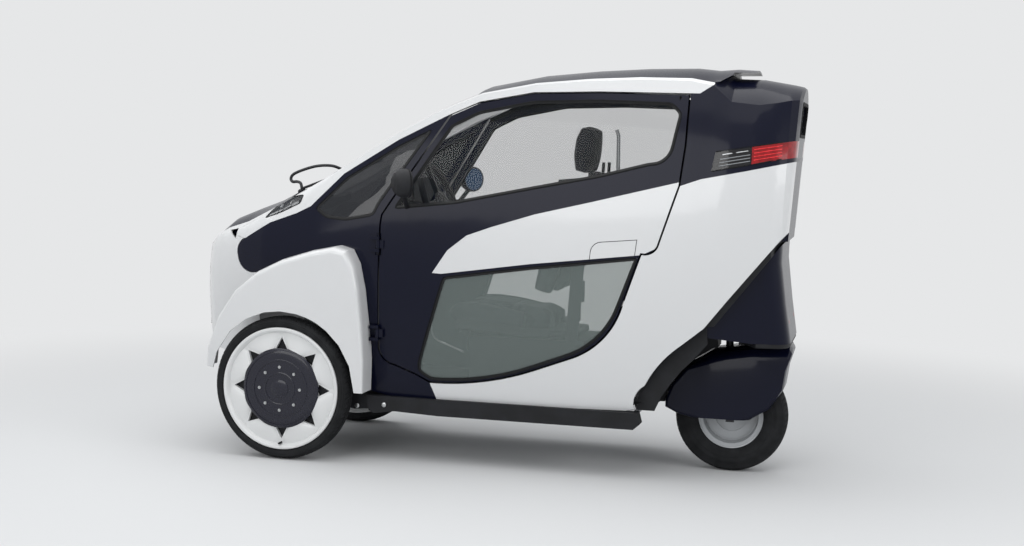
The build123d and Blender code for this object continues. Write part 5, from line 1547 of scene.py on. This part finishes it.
seen = rays_that_see(tree)
amount = add_node(tree, "ShaderNodeMath", {"operation": "MULTIPLY"}, links={0: fade.outputs[0], 1: seen.outputs[0]})
haze = add_node(tree, "ShaderNodeEmission", inputs={"Color": linear(BACKDROP_HEX), "Strength": BACKDROP_STRENGTH})
blend = add_node(tree, "ShaderNodeMixShader", links={0: amount.outputs[0], 1: shader.outputs[0], 2: haze.outputs[0]})
out = next(node for node in tree.nodes if node.type == "OUTPUT_MATERIAL")
tree.links.new(blend.outputs[0], out.inputs["Surface"])
floor_mesh.materials.append(floor_finish)
print("floor fades from", FADE_FROM, "to", FADE_TO, "m")

# %% World and lamps
world = bpy.data.worlds.new("soft_studio")
bpy.context.scene.world = world
world.use_nodes = True
tree = world.node_tree
tree.nodes.clear()
seen = rays_that_see(tree)
fill = add_node(tree, "ShaderNodeBackground", inputs={"Color": linear("#E9ECEF"), "Strength": 0.46})
backdrop = add_node(tree, "ShaderNodeBackground", inputs={
    "Color": linear(BACKDROP_HEX), "Strength": BACKDROP_STRENGTH,
})
mix = add_node(tree, "ShaderNodeMixShader", links={
    0: seen.outputs[0], 1: fill.outputs[0], 2: backdrop.outputs[0],
})
add_node(tree, "ShaderNodeOutputWorld", links={"Surface": mix.outputs[0]})


def soft_lamp(name, place, aim, size, power):
    data = bpy.data.lights.new(name, "AREA")
    data.shape = "RECTANGLE"
    data.size, data.size_y = size
    data.energy = power
    lamp = bpy.data.objects.new(name, data)
    lamp.location = place
    lamp.rotation_mode = "QUATERNION"
    lamp.rotation_quaternion = (Vector(aim) - Vector(place)).to_track_quat("-Z", "Y")
    bpy.context.scene.collection.objects.link(lamp)


soft_lamp("overhead_panel", (0.5, 0.5, 4.5), (0, 0, 0), (8.0, 7.0), 250)
soft_lamp("left_panel", (1.5, 5.5, 2.6), (0, 0, 0.7), (4.0, 2.0), 66)
soft_lamp("rear_panel", (-4.5, 1.5, 2.2), (0, 0, 0.8), (2.5, 2.0), 45)

# %% Camera
FOCAL_PX, PHOTO_W = 1411.2, 1024
CAMERA_AT = Vector((-1.4466, 5.2263, 1.1817))
YAW, PITCH, ROLL = 0.2596, 0.0892, 0.0195
look = Vector((math.sin(YAW) * math.cos(PITCH), -math.cos(YAW) * math.cos(PITCH), -math.sin(PITCH)))
right = look.cross(Vector((0, 0, 1))).normalized()
up = right.cross(look)
right_rolled = math.cos(ROLL) * right + math.sin(ROLL) * up
up_rolled = -math.sin(ROLL) * right + math.cos(ROLL) * up
camera_data = bpy.data.cameras.new("photo_camera")
camera_data.sensor_width = 36.0
camera_data.lens = 36.0 * FOCAL_PX / PHOTO_W
camera = bpy.data.objects.new("photo_camera", camera_data)
turn = Matrix((right_rolled, up_rolled, -look)).transposed().to_4x4()
camera.matrix_world = Matrix.Translation(CAMERA_AT) @ turn
bpy.context.scene.collection.objects.link(camera)
bpy.context.scene.camera = camera
bpy.context.scene.view_settings.view_transform = "Standard"
print("lens", round(camera_data.lens, 2), "mm")
